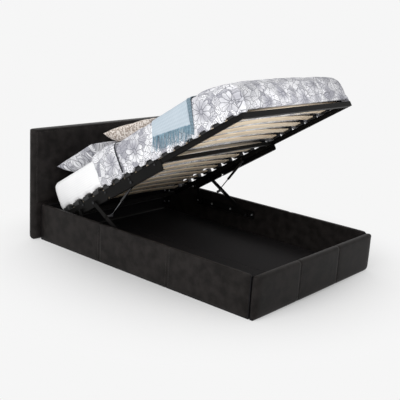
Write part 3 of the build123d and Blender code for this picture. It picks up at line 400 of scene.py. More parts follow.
def makeBoucle():
    # Looped beige yarn with pale and brown flecks
    material, tree, shader = newMaterial("beigeBoucle", {"Roughness": 0.95, "Specular IOR Level": 0.1,
                                                         "Sheen Weight": 0.2})
    place = objectCoordinates(tree)
    loops = addNode(tree, "TexVoronoi", {"Scale": 1000 / boucle["loopMm"]}, {"Vector": place})
    flecks = addNode(tree, "TexNoise", {"Scale": 1000 / boucle["fleckMm"], "Detail": 3.0}, {"Vector": place})
    colour = twoTones(tree, flecks.outputs[0], boucle["dark"], boucle["light"], (0.42, 0.58))
    bump = addNode(tree, "Bump", {"Strength": 0.6, "Distance": 0.003}, {"Height": loops.outputs["Distance"]})
    linkAll(tree, shader, {"Base Color": colour, "Normal": bump.outputs[0]})
    return material


def makeYarn():
    # Twisted blue-grey yarn: each strand keeps its own tone, read from its UV
    material, tree, shader = newMaterial("twistedYarn", {"Roughness": 0.9, "Specular IOR Level": 0.1})
    place = addNode(tree, "UVMap", {"uv_map": "cloth"}).outputs[0]
    tone = addNode(tree, "TexWhiteNoise", {"noise_dimensions": "2D"}, {"Vector": place})
    colour = twoTones(tree, tone.outputs["Value"], yarn["dark"], yarn["light"], (0.0, 1.0))
    twist = addNode(tree, "TexWave", {"bands_direction": "DIAGONAL", "Scale": yarn["twistScale"]},
                    {"Vector": objectCoordinates(tree)})
    bump = addNode(tree, "Bump", {"Strength": 0.4, "Distance": 0.001}, {"Height": twist.outputs["Fac"]})
    linkAll(tree, shader, {"Base Color": colour, "Normal": bump.outputs[0]})
    return material


fauxLeather = makeFauxLeather()
# Name, two tones, roughness, speck and depth in mm, and what else the shader takes
speckled = (
    ("satinPowderCoat", "#0c0c0c", "#161514", 0.42, 2.5, 0.15, {"Specular IOR Level": 0.07}),
    ("linedBoard", "#111011", "#1d1c1e", 0.7, 6.0, 0.3, {"Specular IOR Level": 0.1}),
    ("linedFloorBoard", "#131213", "#1f1d1e", 0.72, 8.0, 0.3, {"Specular IOR Level": 0.1}),
    ("zincPlatedSteel", "#b4b8bc", "#dfe1e3", 0.38, 4.0, 0.05, {"Metallic": 0.6}),
    ("blackZincSteel", "#2f2f31", "#515254", 0.36, 4.0, 0.05, {"Metallic": 1.0}),
    ("mouldedPolypropylene", "#101011", "#1c1c1d", 0.5, 3.0, 0.1),
    ("strutEnamel", "#0a0a0b", "#161617", 0.25, 10.0, 0.05, {"Coat Weight": 0.4}),
    ("groundPlatedRod", "#6f7175", "#939598", 0.16, 6.0, 0.02, {"Metallic": 1.0}),
    ("glassFilledNylon", "#262628", "#3c3c3f", 0.55, 3.0, 0.1),
    ("waxedThread", "#3a3735", "#565250", 0.6, 2.0, 0.1),
)
(powderCoat, boardLining, floorLining, zincPlate, darkZinc, holderPlastic, strutEnamel, platedRod,
 socketPlastic, stitchThread) = (makeSpeckledFinish(*finish) for finish in speckled)
beechWood = makeBeech()
duvetCotton = makePrintedCotton("printedCotton", cotton["white"], cotton["wash"], cotton["line"])
tickingCloth = makePrintedCotton("printedTicking", "#eeecea", "#bcbabc", "#66676e")
sheetCotton = makeWovenCloth("whitePercale", "#ececed", "#f8f8f8", 6.0, 0.1, 90, 0.1)
throwWeave = makeWovenCloth("paleBlueTwill", "#adbac4", "#bbc6cf", 7.0, 0.25, 70, 0.1)
# The throw's own twill made darker: painted shade on the under layer that shows below the throw's foot edge
throwShadeTwill = makeWovenCloth("blueGreyTwill", "#62747f", "#7c8f9b", 7.0, 0.25, 70, 0.1)
cushionBoucle = makeBoucle()
fringeYarn = makeYarn()
# Near-black slate cloth: painted shadow along the foot edge of the turned-back band
shadowLineCloth = makeWovenCloth("slateBinding", "#232328", "#34343a", 5.0, 0.2, 70, 0.0)
print("materials made:", len(bpy.data.materials))

# The first words found in a node's name give its finish
nodeFinishes = {
    "base_bolts": zincPlate, "platform_bolts": darkZinc, "pivot_pins": darkZinc, "slat_holders": holderPlastic,
    "slat_": beechWood, "strut_cylinder": strutEnamel, "strut_rod": platedRod, "strut_sockets": socketPlastic,
    "floor_board": floorLining, "floor_battens": boardLining, "head_cross_board": boardLining,
    "side_rail": boardLining, "foot_panel": boardLining, "headboard_frame": boardLining,
}
for name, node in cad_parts.items():
    finish = next((nodeFinishes[words] for words in nodeFinishes if words in name), powderCoat)
    node.data.materials.clear()
    node.data.materials.append(finish)


# Upholstery of the base

# Cuts and ripples of a padded cover in metres, with where each seam is cut, measured from the seam
padding = {"cutAlong": 0.06, "cutUp": 0.045, "seamClear": 0.02, "seamCuts": (-0.012, -0.003, 0.003, 0.012),
           "seamHalf": 0.004, "seamDepth": 0.003, "ripple": 0.0012, "pucker": 0.0009, "puckerPitch": 0.035,
           "puckerRun": 0.02}
near = 1e-5


def upholster(name, low, high, seamAxis, seams, faceAxis, faceSide, radius, crown):
    # A padded cover: long top edges rounded, sewn seams drawn in and each length between them crowned
    p = padding
    piece = startBox(name, low, high)
    cuts = evenSteps(low[seamAxis], high[seamAxis], p["cutAlong"])
    clear = [place for place in cuts if all(abs(place - seam) > p["seamClear"] for seam in seams)]
    clear += [seam + offset for seam in seams for offset in p["seamCuts"]]
    cutAcross(piece, 2, evenSteps(low[2], high[2], p["cutUp"]))
    cutAcross(piece, seamAxis, clear)
    top = high[2] - near
    bevelEdges(piece, lambda a, b: a.z > top and b.z > top and abs(a[faceAxis] - b[faceAxis]) < near
               and min(abs(a[faceAxis] - low[faceAxis]), abs(a[faceAxis] - high[faceAxis])) < near, radius, 4)
    stops = [low[seamAxis]] + seams + [high[seamAxis]]
    face = high[faceAxis] if faceSide > 0 else low[faceAxis]

    def move(co):
        span = next((i for i in range(len(stops) - 1) if co[seamAxis] <= stops[i + 1] + 1e-6), len(stops) - 2)
        share = (co[seamAxis] - stops[span]) / (stops[span + 1] - stops[span])
        up = (co.z - low[2]) / (high[2] - low[2])
        new = co.copy()
        fromSeam = min([abs(co[seamAxis] - seam) for seam in seams], default=1)
        if abs(co[faceAxis] - face) < p["seamHalf"]:
            ripple = noise.noise(Vector((co.x * 7, co.y * 7, co.z * 9))) * p["ripple"]
            wave = math.cos(co.z * 2 * math.pi / p["puckerPitch"]) if seams else 0
            pucker = wave * p["pucker"] * math.exp(-fromSeam / p["puckerRun"])
            new[faceAxis] += faceSide * (crown * hump(share) * hump(up) + (ripple + pucker) * hump(up))
        if fromSeam < p["seamHalf"]:
            if abs(co[faceAxis] - face) < radius * 0.9:
                new[faceAxis] -= faceSide * p["seamDepth"]
            if co.z > high[2] - radius * 0.9:
                new.z -= p["seamDepth"]
        return new

    reshape(piece, move)
    subdivide(piece)
    smoothByAngle(piece, 50)
    piece.data.materials.append(fauxLeather)
    return piece


rails = {"seamShares": (0.335, 0.665), "radius": 0.007, "crown": 0.002}
footCover = {"seamShares": (1 / 3, 2 / 3), "radius": 0.019, "crown": 0.003}
board = {"radius": 0.015, "crown": 0.008, "border": 0.026, "gap": 0.007, "panels": 3, "panelFoot": 0.288,
         "sink": 0.006, "proud": 0.006, "seamInset": 0.021, "lift": 0.0005, "cut": 0.018, "rimCut": 0.003,
         "puffCrown": 0.0055, "puffRun": 0.010, "ripple": 0.0016, "pucker": 0.0012, "puckerPitch": 0.04,
         "puckerMiddle": 0.03, "puckerHalf": 0.025}

for side, name in ((1, "right"), (-1, "left")):
    low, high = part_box(name + "_rail_cover")
    seams = [low[1] + share * (high[1] - low[1]) for share in rails["seamShares"]]
    cover = upholster(name + "RailUpholstery", low, high, 1, seams, 0, side, rails["radius"], rails["crown"])
    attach(cover, "base")
    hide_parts(name + "_rail_cover")

low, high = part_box("foot_panel_cover")
footSeams = [low[0] + share * (high[0] - low[0]) for share in footCover["seamShares"]]
footPiece = upholster("footUpholstery", low, high, 0, footSeams, 1, -1, footCover["radius"], footCover["crown"])
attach(footPiece, "base")
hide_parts("foot_panel_cover")

low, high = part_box("headboard_cover")
slabLow = (low[0] - board["proud"], low[1] + board["crown"], low[2])
slabHigh = (high[0] + board["proud"], high[1], high[2])
headPiece = upholster("headboardUpholstery", slabLow, slabHigh, 0, [], 1, -1, board["radius"], 0.0)
span = high[0] - low[0] - 2 * board["border"] + board["gap"]
foot, top = board["panelFoot"], high[2] - board["border"]
for place in range(board["panels"]):
    left = low[0] + board["border"] + place * span / board["panels"]
    end = left + span / board["panels"] - board["gap"]
    pad = startBox(f"headPanel{place + 1}", (left, slabLow[1] - board["lift"], foot),
                   (end, slabLow[1] + board["sink"], top))
    rimCut = board["rimCut"]
    cutAcross(pad, 0, evenSteps(left, end, board["cut"]) + [left + rimCut, end - rimCut])
    cutAcross(pad, 2, evenSteps(foot, top, board["cut"]) + [foot + rimCut, top - rimCut])

    def puff(co):
        # Full within a short way of the rim, with puckers along it
        new = co.copy()
        if co.y < slabLow[1]:
            rim = min(co.x - left, end - co.x, co.z - foot, top - co.z)
            swell = 1 - math.exp(-rim / board["puffRun"])
            fromPuckers = (rim - board["puckerMiddle"]) / board["puckerHalf"]
            wave = math.cos((co.x + co.z) * 2 * math.pi / board["puckerPitch"])
            pucker = wave * board["pucker"] * math.exp(-fromPuckers ** 2)
            ripple = noise.noise(Vector((co.x * 6, 0, co.z * 6))) * board["ripple"]
            new.y -= (board["puffCrown"] + pucker + ripple) * swell
        return new

    reshape(pad, puff)
    subdivide(pad)
    smoothByAngle(pad, 60)
    pad.data.materials.append(fauxLeather)
    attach(pad, "base")
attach(headPiece, "base")
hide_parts("headboard_cover")
print("upholstery made")


# Stitches along the seams: one short thread, copied along each line

# Their own size, how far they lie from a seam and end from the edges, and how far they stand out of the face
stitches = {"pitch": 0.008, "length": 0.0055, "radius": 0.0007, "offset": 0.014, "foot": 0.02,
            "railTop": 0.02, "footTop": 0.03, "proud": 0.0004, "footProud": 0.0006}


def makeThread():
    pickOnly(None)
    bpy.ops.mesh.primitive_uv_sphere_add(segments=6, ring_count=4, radius=1)
    thread = bpy.context.object
    thread.scale = (stitches["length"] / 2, stitches["radius"], stitches["radius"])
    bpy.ops.object.transform_apply(location=True, rotation=True, scale=True)
    return thread


def sewLine(name, lines):
    # Each line is its start, its end and the way that its stitches face
    thread = makeThread()
    copies = []
    for start, end, facing in lines:
        start, end = Vector(start), Vector(end)
        way = (end - start).normalized()
        turned = Matrix((way, Vector(facing).cross(way), Vector(facing))).transposed().to_4x4()
        for i in range(int((end - start).length / stitches["pitch"])):
            place = Matrix.Translation(start + way * (i + 0.5) * stitches["pitch"])
            copies.append(copyOf(thread, place @ turned))
    sewn = joinCopies(thread, copies, name, stitchThread)
    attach(sewn, "base")


low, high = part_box("headboard_cover")
face, inset = low[1] + board["crown"] - stitches["proud"], board["seamInset"]
lines = [((x, face, foot), (x, face, top), (0, -1, 0)) for x in (low[0] + inset, high[0] - inset)]
lines.append(((low[0] + inset, face, high[2] - inset), (high[0] - inset, face, high[2] - inset), (0, -1, 0)))
sewLine("headboardStitches", lines)
low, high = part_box("foot_panel_cover")
besideSeam = (-stitches["offset"], stitches["offset"])
face, foot, top = low[1] - stitches["footProud"], stitches["foot"], high[2] - stitches["footTop"]
places = [seam + offset for seam in footSeams for offset in besideSeam]
sewLine("footStitches", [((place, face, foot), (place, face, top), (0, -1, 0)) for place in places])
for side, name in ((1, "right"), (-1, "left")):
    low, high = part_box(name + "_rail_cover")
    outer = (high[0] if side > 0 else low[0]) + side * stitches["proud"]
    seams = [low[1] + share * (high[1] - low[1]) for share in rails["seamShares"]]
    runs, top = [seam + offset for seam in seams for offset in besideSeam], high[2] - stitches["railTop"]
    sewLine(name + "RailStitches", [((outer, run, foot), (outer, run, top), (side, 0, 0)) for run in runs])
print("stitches sewn")


# Moulded caps over the slat ends: one is shaped and copied along both side tubes

def runOf(node):
    return (middleOf(node) - edge).dot(along)


caps = {"inner": 0.576, "outer": 0.6245, "half": 0.031, "bottom": 0.0352, "top": 0.069, "bevel": 0.004,
        "lip": 0.004, "slats": 15}
slatRuns = [runOf(f"slat_{number:02d}") for number in range(1, caps["slats"] + 1)]


def makeCaps(name, side):
    c = caps
    cap = startBox("cap", (c["inner"], -c["half"], c["bottom"]), (c["outer"], c["half"], c["top"]))
    editFaces(cap, lambda face: face.normal.z > 0.9)
    bpy.ops.mesh.inset(thickness=c["lip"] * 2)
    bpy.ops.transform.translate(value=(0, 0, -c["lip"] / 2))
    bpy.ops.object.mode_set(mode="OBJECT")
    editFaces(cap, lambda face: face.normal.x < -0.9)
    bpy.ops.mesh.inset(thickness=c["lip"])
    bpy.ops.transform.translate(value=(c["lip"] / 2, 0, 0))
    bpy.ops.object.mode_set(mode="OBJECT")
    applyModifier(cap, "BEVEL", width=c["bevel"], segments=3, limit_method="ANGLE")
    copies = [copyOf(cap, Matrix.Translation((0, run, 0))) for run in slatRuns]
    row = joinCopies(cap, copies, name, holderPlastic)
    if side < 0:
        row.data.transform(Matrix.Diagonal((-1, 1, 1, 1)))
        row.data.flip_normals()
    smoothByAngle(row, 40)
    setOnPlatform(row)
    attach(row, "platform")
    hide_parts(("right" if side > 0 else "left") + "_slat_holders")


makeCaps("rightSlatCaps", 1)
makeCaps("leftSlatCaps", -1)


# Bedding

cloths = {"quality": 5, "steps": 20, "sagRun": 0.012}


def hemSag(run, depth):
    # How far a hem hangs between two slat caps
    gap = min(abs(run - place) for place in slatRuns)
    return depth * clamp((gap - caps["half"]) / cloths["sagRun"])


def clothMap(piece, top):
    # UV in metres, unfolded from the top over the sides, so that a print follows the cloth
    layer = piece.data.uv_layers.new(name="cloth")
    for face in piece.data.polygons:
        normal = face.normal
        onEnd = abs(normal.y) > max(abs(normal.x), abs(normal.z))
        for index in face.loop_indices:
            co = piece.data.vertices[piece.data.loops[index].vertex_index].co
            drop = max(0.0, top - co.z)
            if onEnd:
                layer.data[index].uv = (co.x, co.y - drop if normal.y < 0 else co.y + drop)
            else:
                layer.data[index].uv = (co.x + math.copysign(drop, co.x), co.y)


def swellCloth(piece, pressure, cap, slack, pinned=None):
    # Cloth under pressure with a little slack, which wrinkles and puffs, and no point moves past the cap
    pickOnly(piece)
    before = [vertex.co.copy() for vertex in piece.data.vertices]
    if pinned:
        group = piece.vertex_groups.new(name="pins")
        group.add([v.index for v in piece.data.vertices if pinned(v.co)], 1.0, "REPLACE")
    cloth = piece.modifiers.new("cloth", "CLOTH")
    cloth.settings.quality = cloths["quality"]
    cloth.settings.use_pressure = True
    cloth.settings.uniform_pressure_force = pressure
    cloth.settings.shrink_min = -slack
    cloth.settings.effector_weights.gravity = 0
    cloth.collision_settings.use_collision = False
    if pinned:
        cloth.settings.vertex_group_mass = "pins"
    for step in range(cloths["steps"]):
        bpy.context.scene.frame_set(step + 1)
    bpy.ops.object.modifier_apply(modifier="cloth")
    bpy.context.scene.frame_set(1)
    for vertex, old in zip(piece.data.vertices, before):
        way = vertex.co - old
        most = cap(old) if callable(cap) else cap
        if way.length > most:
            vertex.co = old + way.normalized() * most
    piece.data.update()


def roundedBlock(name, low, high, form):
    block = startBox(name, low, high)
    bevelEdges(block, lambda a, b: abs(a.z - b.z) > 0.5 * (high[2] - low[2]), form["corner"], 5)
    bevelEdges(block, lambda a, b: abs(a.z - b.z) < near and max(a.z, b.z) > high[2] - near, form["edge"], 4)
    applyModifier(block, "REMESH", mode="VOXEL", voxel_size=form["voxel"])
    return block


mattress = {"half": 0.61, "foot": 0.020, "head": 1.910, "bottom": 0.0795, "top": 0.2343,
            "corner": 0.032, "edge": 0.026, "voxel": 0.018, "pressure": 3.0, "puff": 0.004, "slack": 0.004,
            "headLift": 0.043, "liftStart": 1.10, "liftRun": 0.24, "bulge": 0.006, "leanBack": 0.014,
            "endRun": 0.06, "skirt": 0.0085, "sag": 0.028, "skirtInset": 0.03, "skirtShare": 0.15}


def makeMattress():
    m = mattress
    low, high = (-m["half"], m["foot"], m["bottom"]), (m["half"], m["head"], m["top"])
    piece = roundedBlock("mattressBody", low, high, m)
    clothMap(piece, m["top"])
    swellCloth(piece, m["pressure"], m["puff"], m["slack"])

    def settle(co):
        up = clamp((co.z - m["bottom"]) / (m["top"] - m["bottom"]))
        headShare = clamp((co.y - m["liftStart"]) / m["liftRun"])
        nearEnd = max(0, (co.y - m["head"] + m["endRun"]) / m["endRun"])
        bulge = nearEnd * (m["bulge"] * math.sin(math.pi * up) - m["leanBack"] * up ** 3)
        lift = m["headLift"] * up * headShare ** 2 * (3 - 2 * headShare)
        atSide = max(0, 1 - (m["half"] - abs(co.x)) / m["skirtInset"])
        nearBottom = max(0, 1 - up / m["skirtShare"])
        skirt = (m["skirt"] + hemSag(co.y, m["sag"])) * min(1, 2 * atSide) * nearBottom
        return Vector((co.x, co.y + bulge, max(co.z, m["bottom"]) + lift - skirt))

    reshape(piece, settle)
    subdivide(piece)
    piece.data.materials.append(sheetCotton)
    piece.data.materials.append(tickingCloth)
    for face in piece.data.polygons:
        face.material_index = 1 if face.normal.z < -0.6 else 0
    smoothByAngle(piece, 60)
    setOnPlatform(piece)
    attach(piece, "platform")
    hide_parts("mattress")


duvet = {"half": 0.637, "foot": -0.005, "head": 1.12, "hem": 0.054, "footTop": 0.215, "top": 0.277,
         "headTop": 0.272, "headRun": 0.35, "crown": 0.018, "crownHalf": 0.6, "spare": 0.03,
         "corner": 0.045, "edge": 0.034, "voxel": 0.015, "thickness": 0.018,
         "pressure": 1.2, "cap": 0.012, "slack": 0.045, "pinned": 0.012, "headPinned": 0.02,
         "fold": 0.006, "foldPitch": 0.15, "foldRun": 0.1, "riseEnd": 0.32, "calmEnd": 0.722, "calmCap": 0.15,
         "calmRun": 0.09, "nearTaper": 0.05, "farTaper": 0.10, "taperRun": 0.3,
         "sideBand": 0.06, "flare": 0.008, "flareTop": 0.087, "flareRise": 0.03, "sag": 0.018, "sagShare": 0.15,
         "hemRise": 0.012, "hemRiseStart": 0.6, "hemRiseRun": 0.3, "riseShare": 0.3,
         "grooveRun": 1.074, "grooveHalf": 0.008, "grooveDepth": 0.024, "grooveSide": 0.04, "grooveShare": 0.7}
pleat = {"reach": 0.05, "top": 0.024, "spread": 0.014, "depth": 0.03, "half": 0.008, "ridge": 0.009,
         "ridgeOffset": 0.02, "ridgeHalf": 0.013, "cuts": (0.016, 0.028, 0.040)}


def duvetTop(x, run):
    d = duvet
    if run < d["riseEnd"]:
        rise = d["footTop"] + (d["top"] - d["footTop"]) * math.sin(max(0, run / d["riseEnd"]) * math.pi / 2)
    else:
        rise = d["top"] - (d["top"] - d["headTop"]) * max(0, (run - d["calmEnd"]) / d["headRun"])
    return rise + d["crown"] * max(0, 1 - (x / d["crownHalf"]) ** 2)


def hemFlare(rise):
    # How far the hem stands out to clear the slat caps
    return duvet["flare"] * clamp((duvet["flareTop"] - rise) / duvet["flareRise"])


def fromThrow(run):
    # How far a place is from the stretch where the throw keeps the duvet calm
    return max(0.0, duvet["riseEnd"] - run, run - duvet["calmEnd"])


def foldAt(run):
    away = fromThrow(run)
    return duvet["fold"] * min(1, away / duvet["foldRun"]) * math.sin(2 * math.pi * away / duvet["foldPitch"])


def makeDuvet():
    d = duvet
    low = (-d["half"], d["foot"], d["hem"] - d["spare"])
    piece = roundedBlock("duvetCover", low, (d["half"], d["head"] + d["spare"], d["top"]), d)
    cutAway(piece, lambda face: face.center.z < d["hem"] or face.center.y > d["head"])
    cutAcross(piece, 1, [d["grooveRun"] + step * d["grooveHalf"] / 2 for step in range(-3, 4)])
    cutAcross(piece, 0, [side * (d["half"] - cut) for side in (-1, 1) for cut in pleat["cuts"]])
    clothMap(piece, d["top"])

    def drape(co):
        share = (co.z - d["hem"]) / (d["top"] - d["hem"])
        new = Vector((co.x, co.y, d["hem"] + share * (duvetTop(co.x, co.y) - d["hem"])))
        side = abs(co.x) / d["half"]
        taper = d["farTaper"] if co.x > 0 else d["nearTaper"]
        new.x *= 1 - taper * max(0, share) * math.exp(-(co.y / d["taperRun"]) ** 2)
        if side > 0.9:
            new.x += math.copysign(foldAt(co.y) * clamp(share) * (side - 0.9) / 0.1, co.x)
        return new

    def most(co):
        # Little movement under the throw
        return d["cap"] * (d["calmCap"] + (1 - d["calmCap"]) * clamp(fromThrow(co.y) / d["calmRun"]))

    reshape(piece, drape)
    swellCloth(piece, d["pressure"], most, d["slack"],
               lambda co: co.z < d["hem"] + d["pinned"] or co.y > d["head"] - d["headPinned"])
    subdivide(piece)

    def gather(co):
        # The gap in front of the turned-back band, the hem, and the folds down from the two corners at the foot
        share = clamp((co.z - d["hem"]) / (d["top"] - d["hem"]))
        across = d["half"] - abs(co.x)
        gap = d["grooveDepth"] * math.exp(-((co.y - d["grooveRun"]) / d["grooveHalf"]) ** 4)
        new = co.copy()
        if across < d["grooveSide"]:
            new.x -= math.copysign(gap, co.x)
        if share > d["grooveShare"]:
            new.z -= gap
        if across < d["sideBand"]:
            new.x += math.copysign(hemFlare(co.z), co.x)
            new.z -= hemSag(co.y, d["sag"]) * max(0.0, 1 - share / d["sagShare"])
            higher = clamp((co.y - d["hemRiseStart"]) / d["hemRiseRun"])
            new.z += d["hemRise"] * higher * max(0.0, 1 - share / d["riseShare"])
        if co.y < pleat["reach"]:
            fromFold = across - pleat["top"] - pleat["spread"] * (1 - share)
            new.y += pleat["depth"] * math.exp(-(fromFold / pleat["half"]) ** 2)
            new.y -= pleat["ridge"] * math.exp(-((fromFold - pleat["ridgeOffset"]) / pleat["ridgeHalf"]) ** 2)
        return new

    reshape(piece, gather)
    applyModifier(piece, "SOLIDIFY", thickness=d["thickness"], offset=-1, use_rim=True)
    piece.data.materials.append(duvetCotton)
    smoothByAngle(piece, 70)
    setOnPlatform(piece)
    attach(piece, "platform")
    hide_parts("duvet")


turnback = {"half": 0.643, "foot": 1.084, "head": 1.352, "hem": 0.070, "top": 0.296, "crown": 0.018,
            "wave": 0.004, "spare": 0.03, "corner": 0.014, "edge": 0.034, "voxel": 0.012, "thickness": 0.016,
            "pressure": 1.5, "cap": 0.008, "slack": 0.045, "pinned": 0.012, "footPinned": 0.025,
            "sag": 0.024, "sagRise": 0.03, "printShift": (0.37, 2.1)}


def makeTurnback():
    t = turnback
    low = (-t["half"], t["foot"], t["hem"] - t["spare"])
    piece = roundedBlock("duvetTurnback", low, (t["half"], t["head"], t["top"]), t)
    cutAway(piece, lambda face: face.center.z < t["hem"])
    clothMap(piece, t["top"])
    for item in piece.data.uv_layers["cloth"].data:
        item.uv = (item.uv[0] + t["printShift"][0], t["printShift"][1] - item.uv[1])

    def drape(co):
        share = (co.z - t["hem"]) / (t["top"] - t["hem"])
        crown = t["crown"] * max(0, 1 - (co.x / 0.6) ** 2) + t["wave"] * math.sin(co.x * 11 + co.y * 17)
        return Vector((co.x, co.y, co.z + share * crown))

    reshape(piece, drape)
    swellCloth(piece, t["pressure"], t["cap"], t["slack"],
               lambda co: co.z < t["hem"] + t["pinned"] or co.y < t["foot"] + t["footPinned"])

    def hang(co):
        share = clamp(1 - (co.z - t["hem"]) / t["sagRise"])
        return Vector((co.x, co.y, co.z - share * hemSag(co.y, t["sag"])))

    reshape(piece, hang)
    applyModifier(piece, "SOLIDIFY", thickness=t["thickness"], offset=-1, use_rim=True)
    subdivide(piece)
    piece.data.materials.append(duvetCotton)
    smoothByAngle(piece, 70)
    setOnPlatform(piece)
    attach(piece, "platform")
    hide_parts("duvet")


plump = {"cut": 0.014, "power": 2.6, "fullness": 0.55, "draw": 0.07, "lump": 0.10, "seam": 0.002,
         "pressure": 3.0, "cap": 0.008, "slack": 0.03}
# Each has its place as offset from the middle, run and the height that it rests on
pillow = {"length": 0.560, "width": 0.460, "thickness": 0.134, "offset": 0.296, "run": 1.600,
          "rest": mattress["top"] + mattress["headLift"], "curl": 0.048, "turn": 0, "lean": 0, "fill": 0.6}
cushion = {"length": 0.440, "width": 0.440, "thickness": 0.130, "offset": -0.160, "run": 1.240,
           "rest": 0.3263, "curl": 0.05, "turn": 14, "lean": 10, "fill": 0.7}


def makePillow(name, form, offset, material, node):
    # A closed form that swells in the middle, thins to its seam and draws its sides in between the corners
    halfLength, halfWidth, half = form["length"] / 2, form["width"] / 2, form["thickness"] / 2
    middle = Vector((offset, form["run"], form["rest"] + half))
    piece = startBox(name, (-halfLength, -halfWidth, -0.5), (halfLength, halfWidth, 0.5))
    cutAcross(piece, 0, evenSteps(-halfLength, halfLength, plump["cut"]))
    cutAcross(piece, 1, evenSteps(-halfWidth, halfWidth, plump["cut"]))

    def fill(co):
        u, v = co.x / halfLength, co.y / halfWidth
        full = (1 - abs(u) ** plump["power"]) * (1 - abs(v) ** plump["power"])
        swell = max(0.0, full) ** plump["fullness"]
        drawX, drawY = 1 - plump["draw"] * (1 - v * v), 1 - plump["draw"] * (1 - u * u)
        lump = 1 + plump["lump"] * noise.noise(Vector((co.x * 5, co.y * 5, offset * 9)))
        side = math.copysign(plump["seam"] + swell * lump * (half - 2 * plump["seam"]), co.z)
        return Vector((co.x * drawX, co.y * drawY, side + form["curl"] * max(abs(u), abs(v)) ** 4))

    reshape(piece, fill)
    clothMap(piece, 1.0)
    for item in piece.data.uv_layers["cloth"].data:
        item.uv = (item.uv[0] + offset * 3, item.uv[1] + form["run"] * 2)
    swellCloth(piece, plump["pressure"], plump["cap"], plump["slack"])
    reshape(piece, lambda co: Vector((co.x, co.y, max(-half, co.z))))
    subdivide(piece)
    piece.data.materials.append(material)
    smoothByAngle(piece, 60)
    piece.data.transform(Matrix.Translation(middle) @ Matrix.Rotation(math.radians(form["lean"]), 4, "X")
                         @ Matrix.Rotation(math.radians(form["turn"]), 4, "Z"))
    setOnPlatform(piece)
    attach(piece, "platform")
    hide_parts(node)


# Throw, with the strip under its foot edge, and a dark strip of painted shadow along the foot edge of the
# turned-back band

throw = {"start": 0.352, "end": 0.690, "half": 0.6376, "shoulder": 0.0346, "rise": 0.2776, "crown": 0.020,
         "hem": 0.178, "sheet": 0.004, "lean": 24, "step": 0.008, "slope": 0.055, "offset": 0.0,
         "edgeRoll": 0.004, "rollRun": 0.012, "lift": 0.0015, "ripple": 0.004, "clear": 0.002,
         "steps": (40, 6, 12)}
underlay = {**throw, "start": 0.320, "end": 0.402, "hem": 0.108, "offset": -0.0012, "edgeRoll": 0.0}
# A narrow dark strip laid at the turned-back band's foot edge, standing in for its shadow line (painted shadow)
shadowStrip = {**throw, "start": 1.080, "end": 1.090, "hem": 0.074, "offset": turnback["half"] - throw["half"],
           "edgeRoll": 0.002, "lean": 0, "slope": 0, "sheet": 0.005}


def clothLine(form):
    # Points over the duvet from hem to hem, each with how far it hangs below the bend of its side
    half, shoulder, rise = (form[key] + form["offset"] for key in ("half", "shoulder", "rise"))
    flat, bend = half - shoulder, rise - shoulder
    onTop, onShoulder, onSide = form["steps"]
    points = []
    for i in range(onTop + 1):
        x = flat * i / onTop
        points.append((x, rise + form["crown"] * (1 - (x / flat) ** 2), 0))
    for i in range(1, onShoulder + 1):
        angle = math.pi / 2 * i / onShoulder
        points.append((flat + shoulder * math.sin(angle), bend + shoulder * math.cos(angle), 0))
    drops = [(bend - form["hem"]) * i / onSide for i in range(1, onSide + 1)]
    points += [(points[-1][0], bend - drop, drop) for drop in drops]
    return [(-x, z, hang) for x, z, hang in reversed(points[1:])] + points


def layCloth(name, form, material, under):
    line = clothLine(form)
    width, deepest = form["end"] - form["start"], line[0][2]
    pickOnly(None)
    columns = max(2, round(width / form["step"]))
    bpy.ops.mesh.primitive_grid_add(x_subdivisions=len(line) - 1, y_subdivisions=columns, size=2)
    piece = bpy.context.object
    piece.name = name
    lengths = [0.0]
    for (x0, z0, _), (x1, z1, _) in zip(line, line[1:]):
        lengths.append(lengths[-1] + math.hypot(x1 - x0, z1 - z0))
    layer = piece.data.uv_layers.new(name="cloth")
    places = {}
    for vertex in piece.data.vertices:
        index = round((vertex.co.x + 1) / 2 * (len(line) - 1))
        share = (vertex.co.y + 1) / 2
        x, z, hang = line[index]
        run = form["start"] + share * width + hang * math.tan(math.radians(form["lean"]))
        ripple = noise.noise(Vector((lengths[index] * 5, share * 4, 2.0))) * form["ripple"]
        roll = form["edgeRoll"] * math.exp(-share * width / form["rollRun"])
        out = form["lift"] + abs(ripple) + roll
        z -= form["slope"] * (1 - share) * hang / deepest
        sideways = min(1, hang / 0.02)
        places[vertex.index] = (lengths[index], run)
        vertex.co = (x + math.copysign(out * sideways, x), run, z + out * (1 - sideways))
    for loop in piece.data.loops:
        layer.data[loop.index].uv = places[loop.vertex_index]
    setOnPlatform(piece)
    applyModifier(piece, "SHRINKWRAP", target=bpy.data.objects[under], wrap_mode="OUTSIDE",
                  offset=form["clear"] + form["offset"])
    applyModifier(piece, "SOLIDIFY", thickness=form["sheet"], offset=1, use_rim=True)
    piece.data.materials.append(material)
    smoothByAngle(piece, 60)
    return piece, lengths[-1]


# Lays the dark strip of painted shadow over the turned-back band's foot edge
def makeShadowStrip():
    strip, length = layCloth("duvetBinding", shadowStrip, shadowLineCloth, "duvetTurnback")
    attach(strip, "platform")
    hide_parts("duvet")


def makeThrow():
    top, length = layCloth("throwTop", throw, throwWeave, "duvetCover")
    # The under layer takes the darker twill as painted shade, not a cloth of its own
    lower, lowerLength = layCloth("throwUnderlay", underlay, throwShadeTwill, "duvetCover")
    tassels = makeFringe()
    for piece in (top, lower):
        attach(piece, "platform")
        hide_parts("throw")


fringe = {"pitch": 0.0042, "length": 0.092, "radius": 0.0021, "endShare": 0.45, "cuts": 5, "hold": 0.004,
          "stretch": (0.82, 1.08), "swing": 9, "wave": 0.004, "out": (0.002, 0.006), "bow": 0.003}


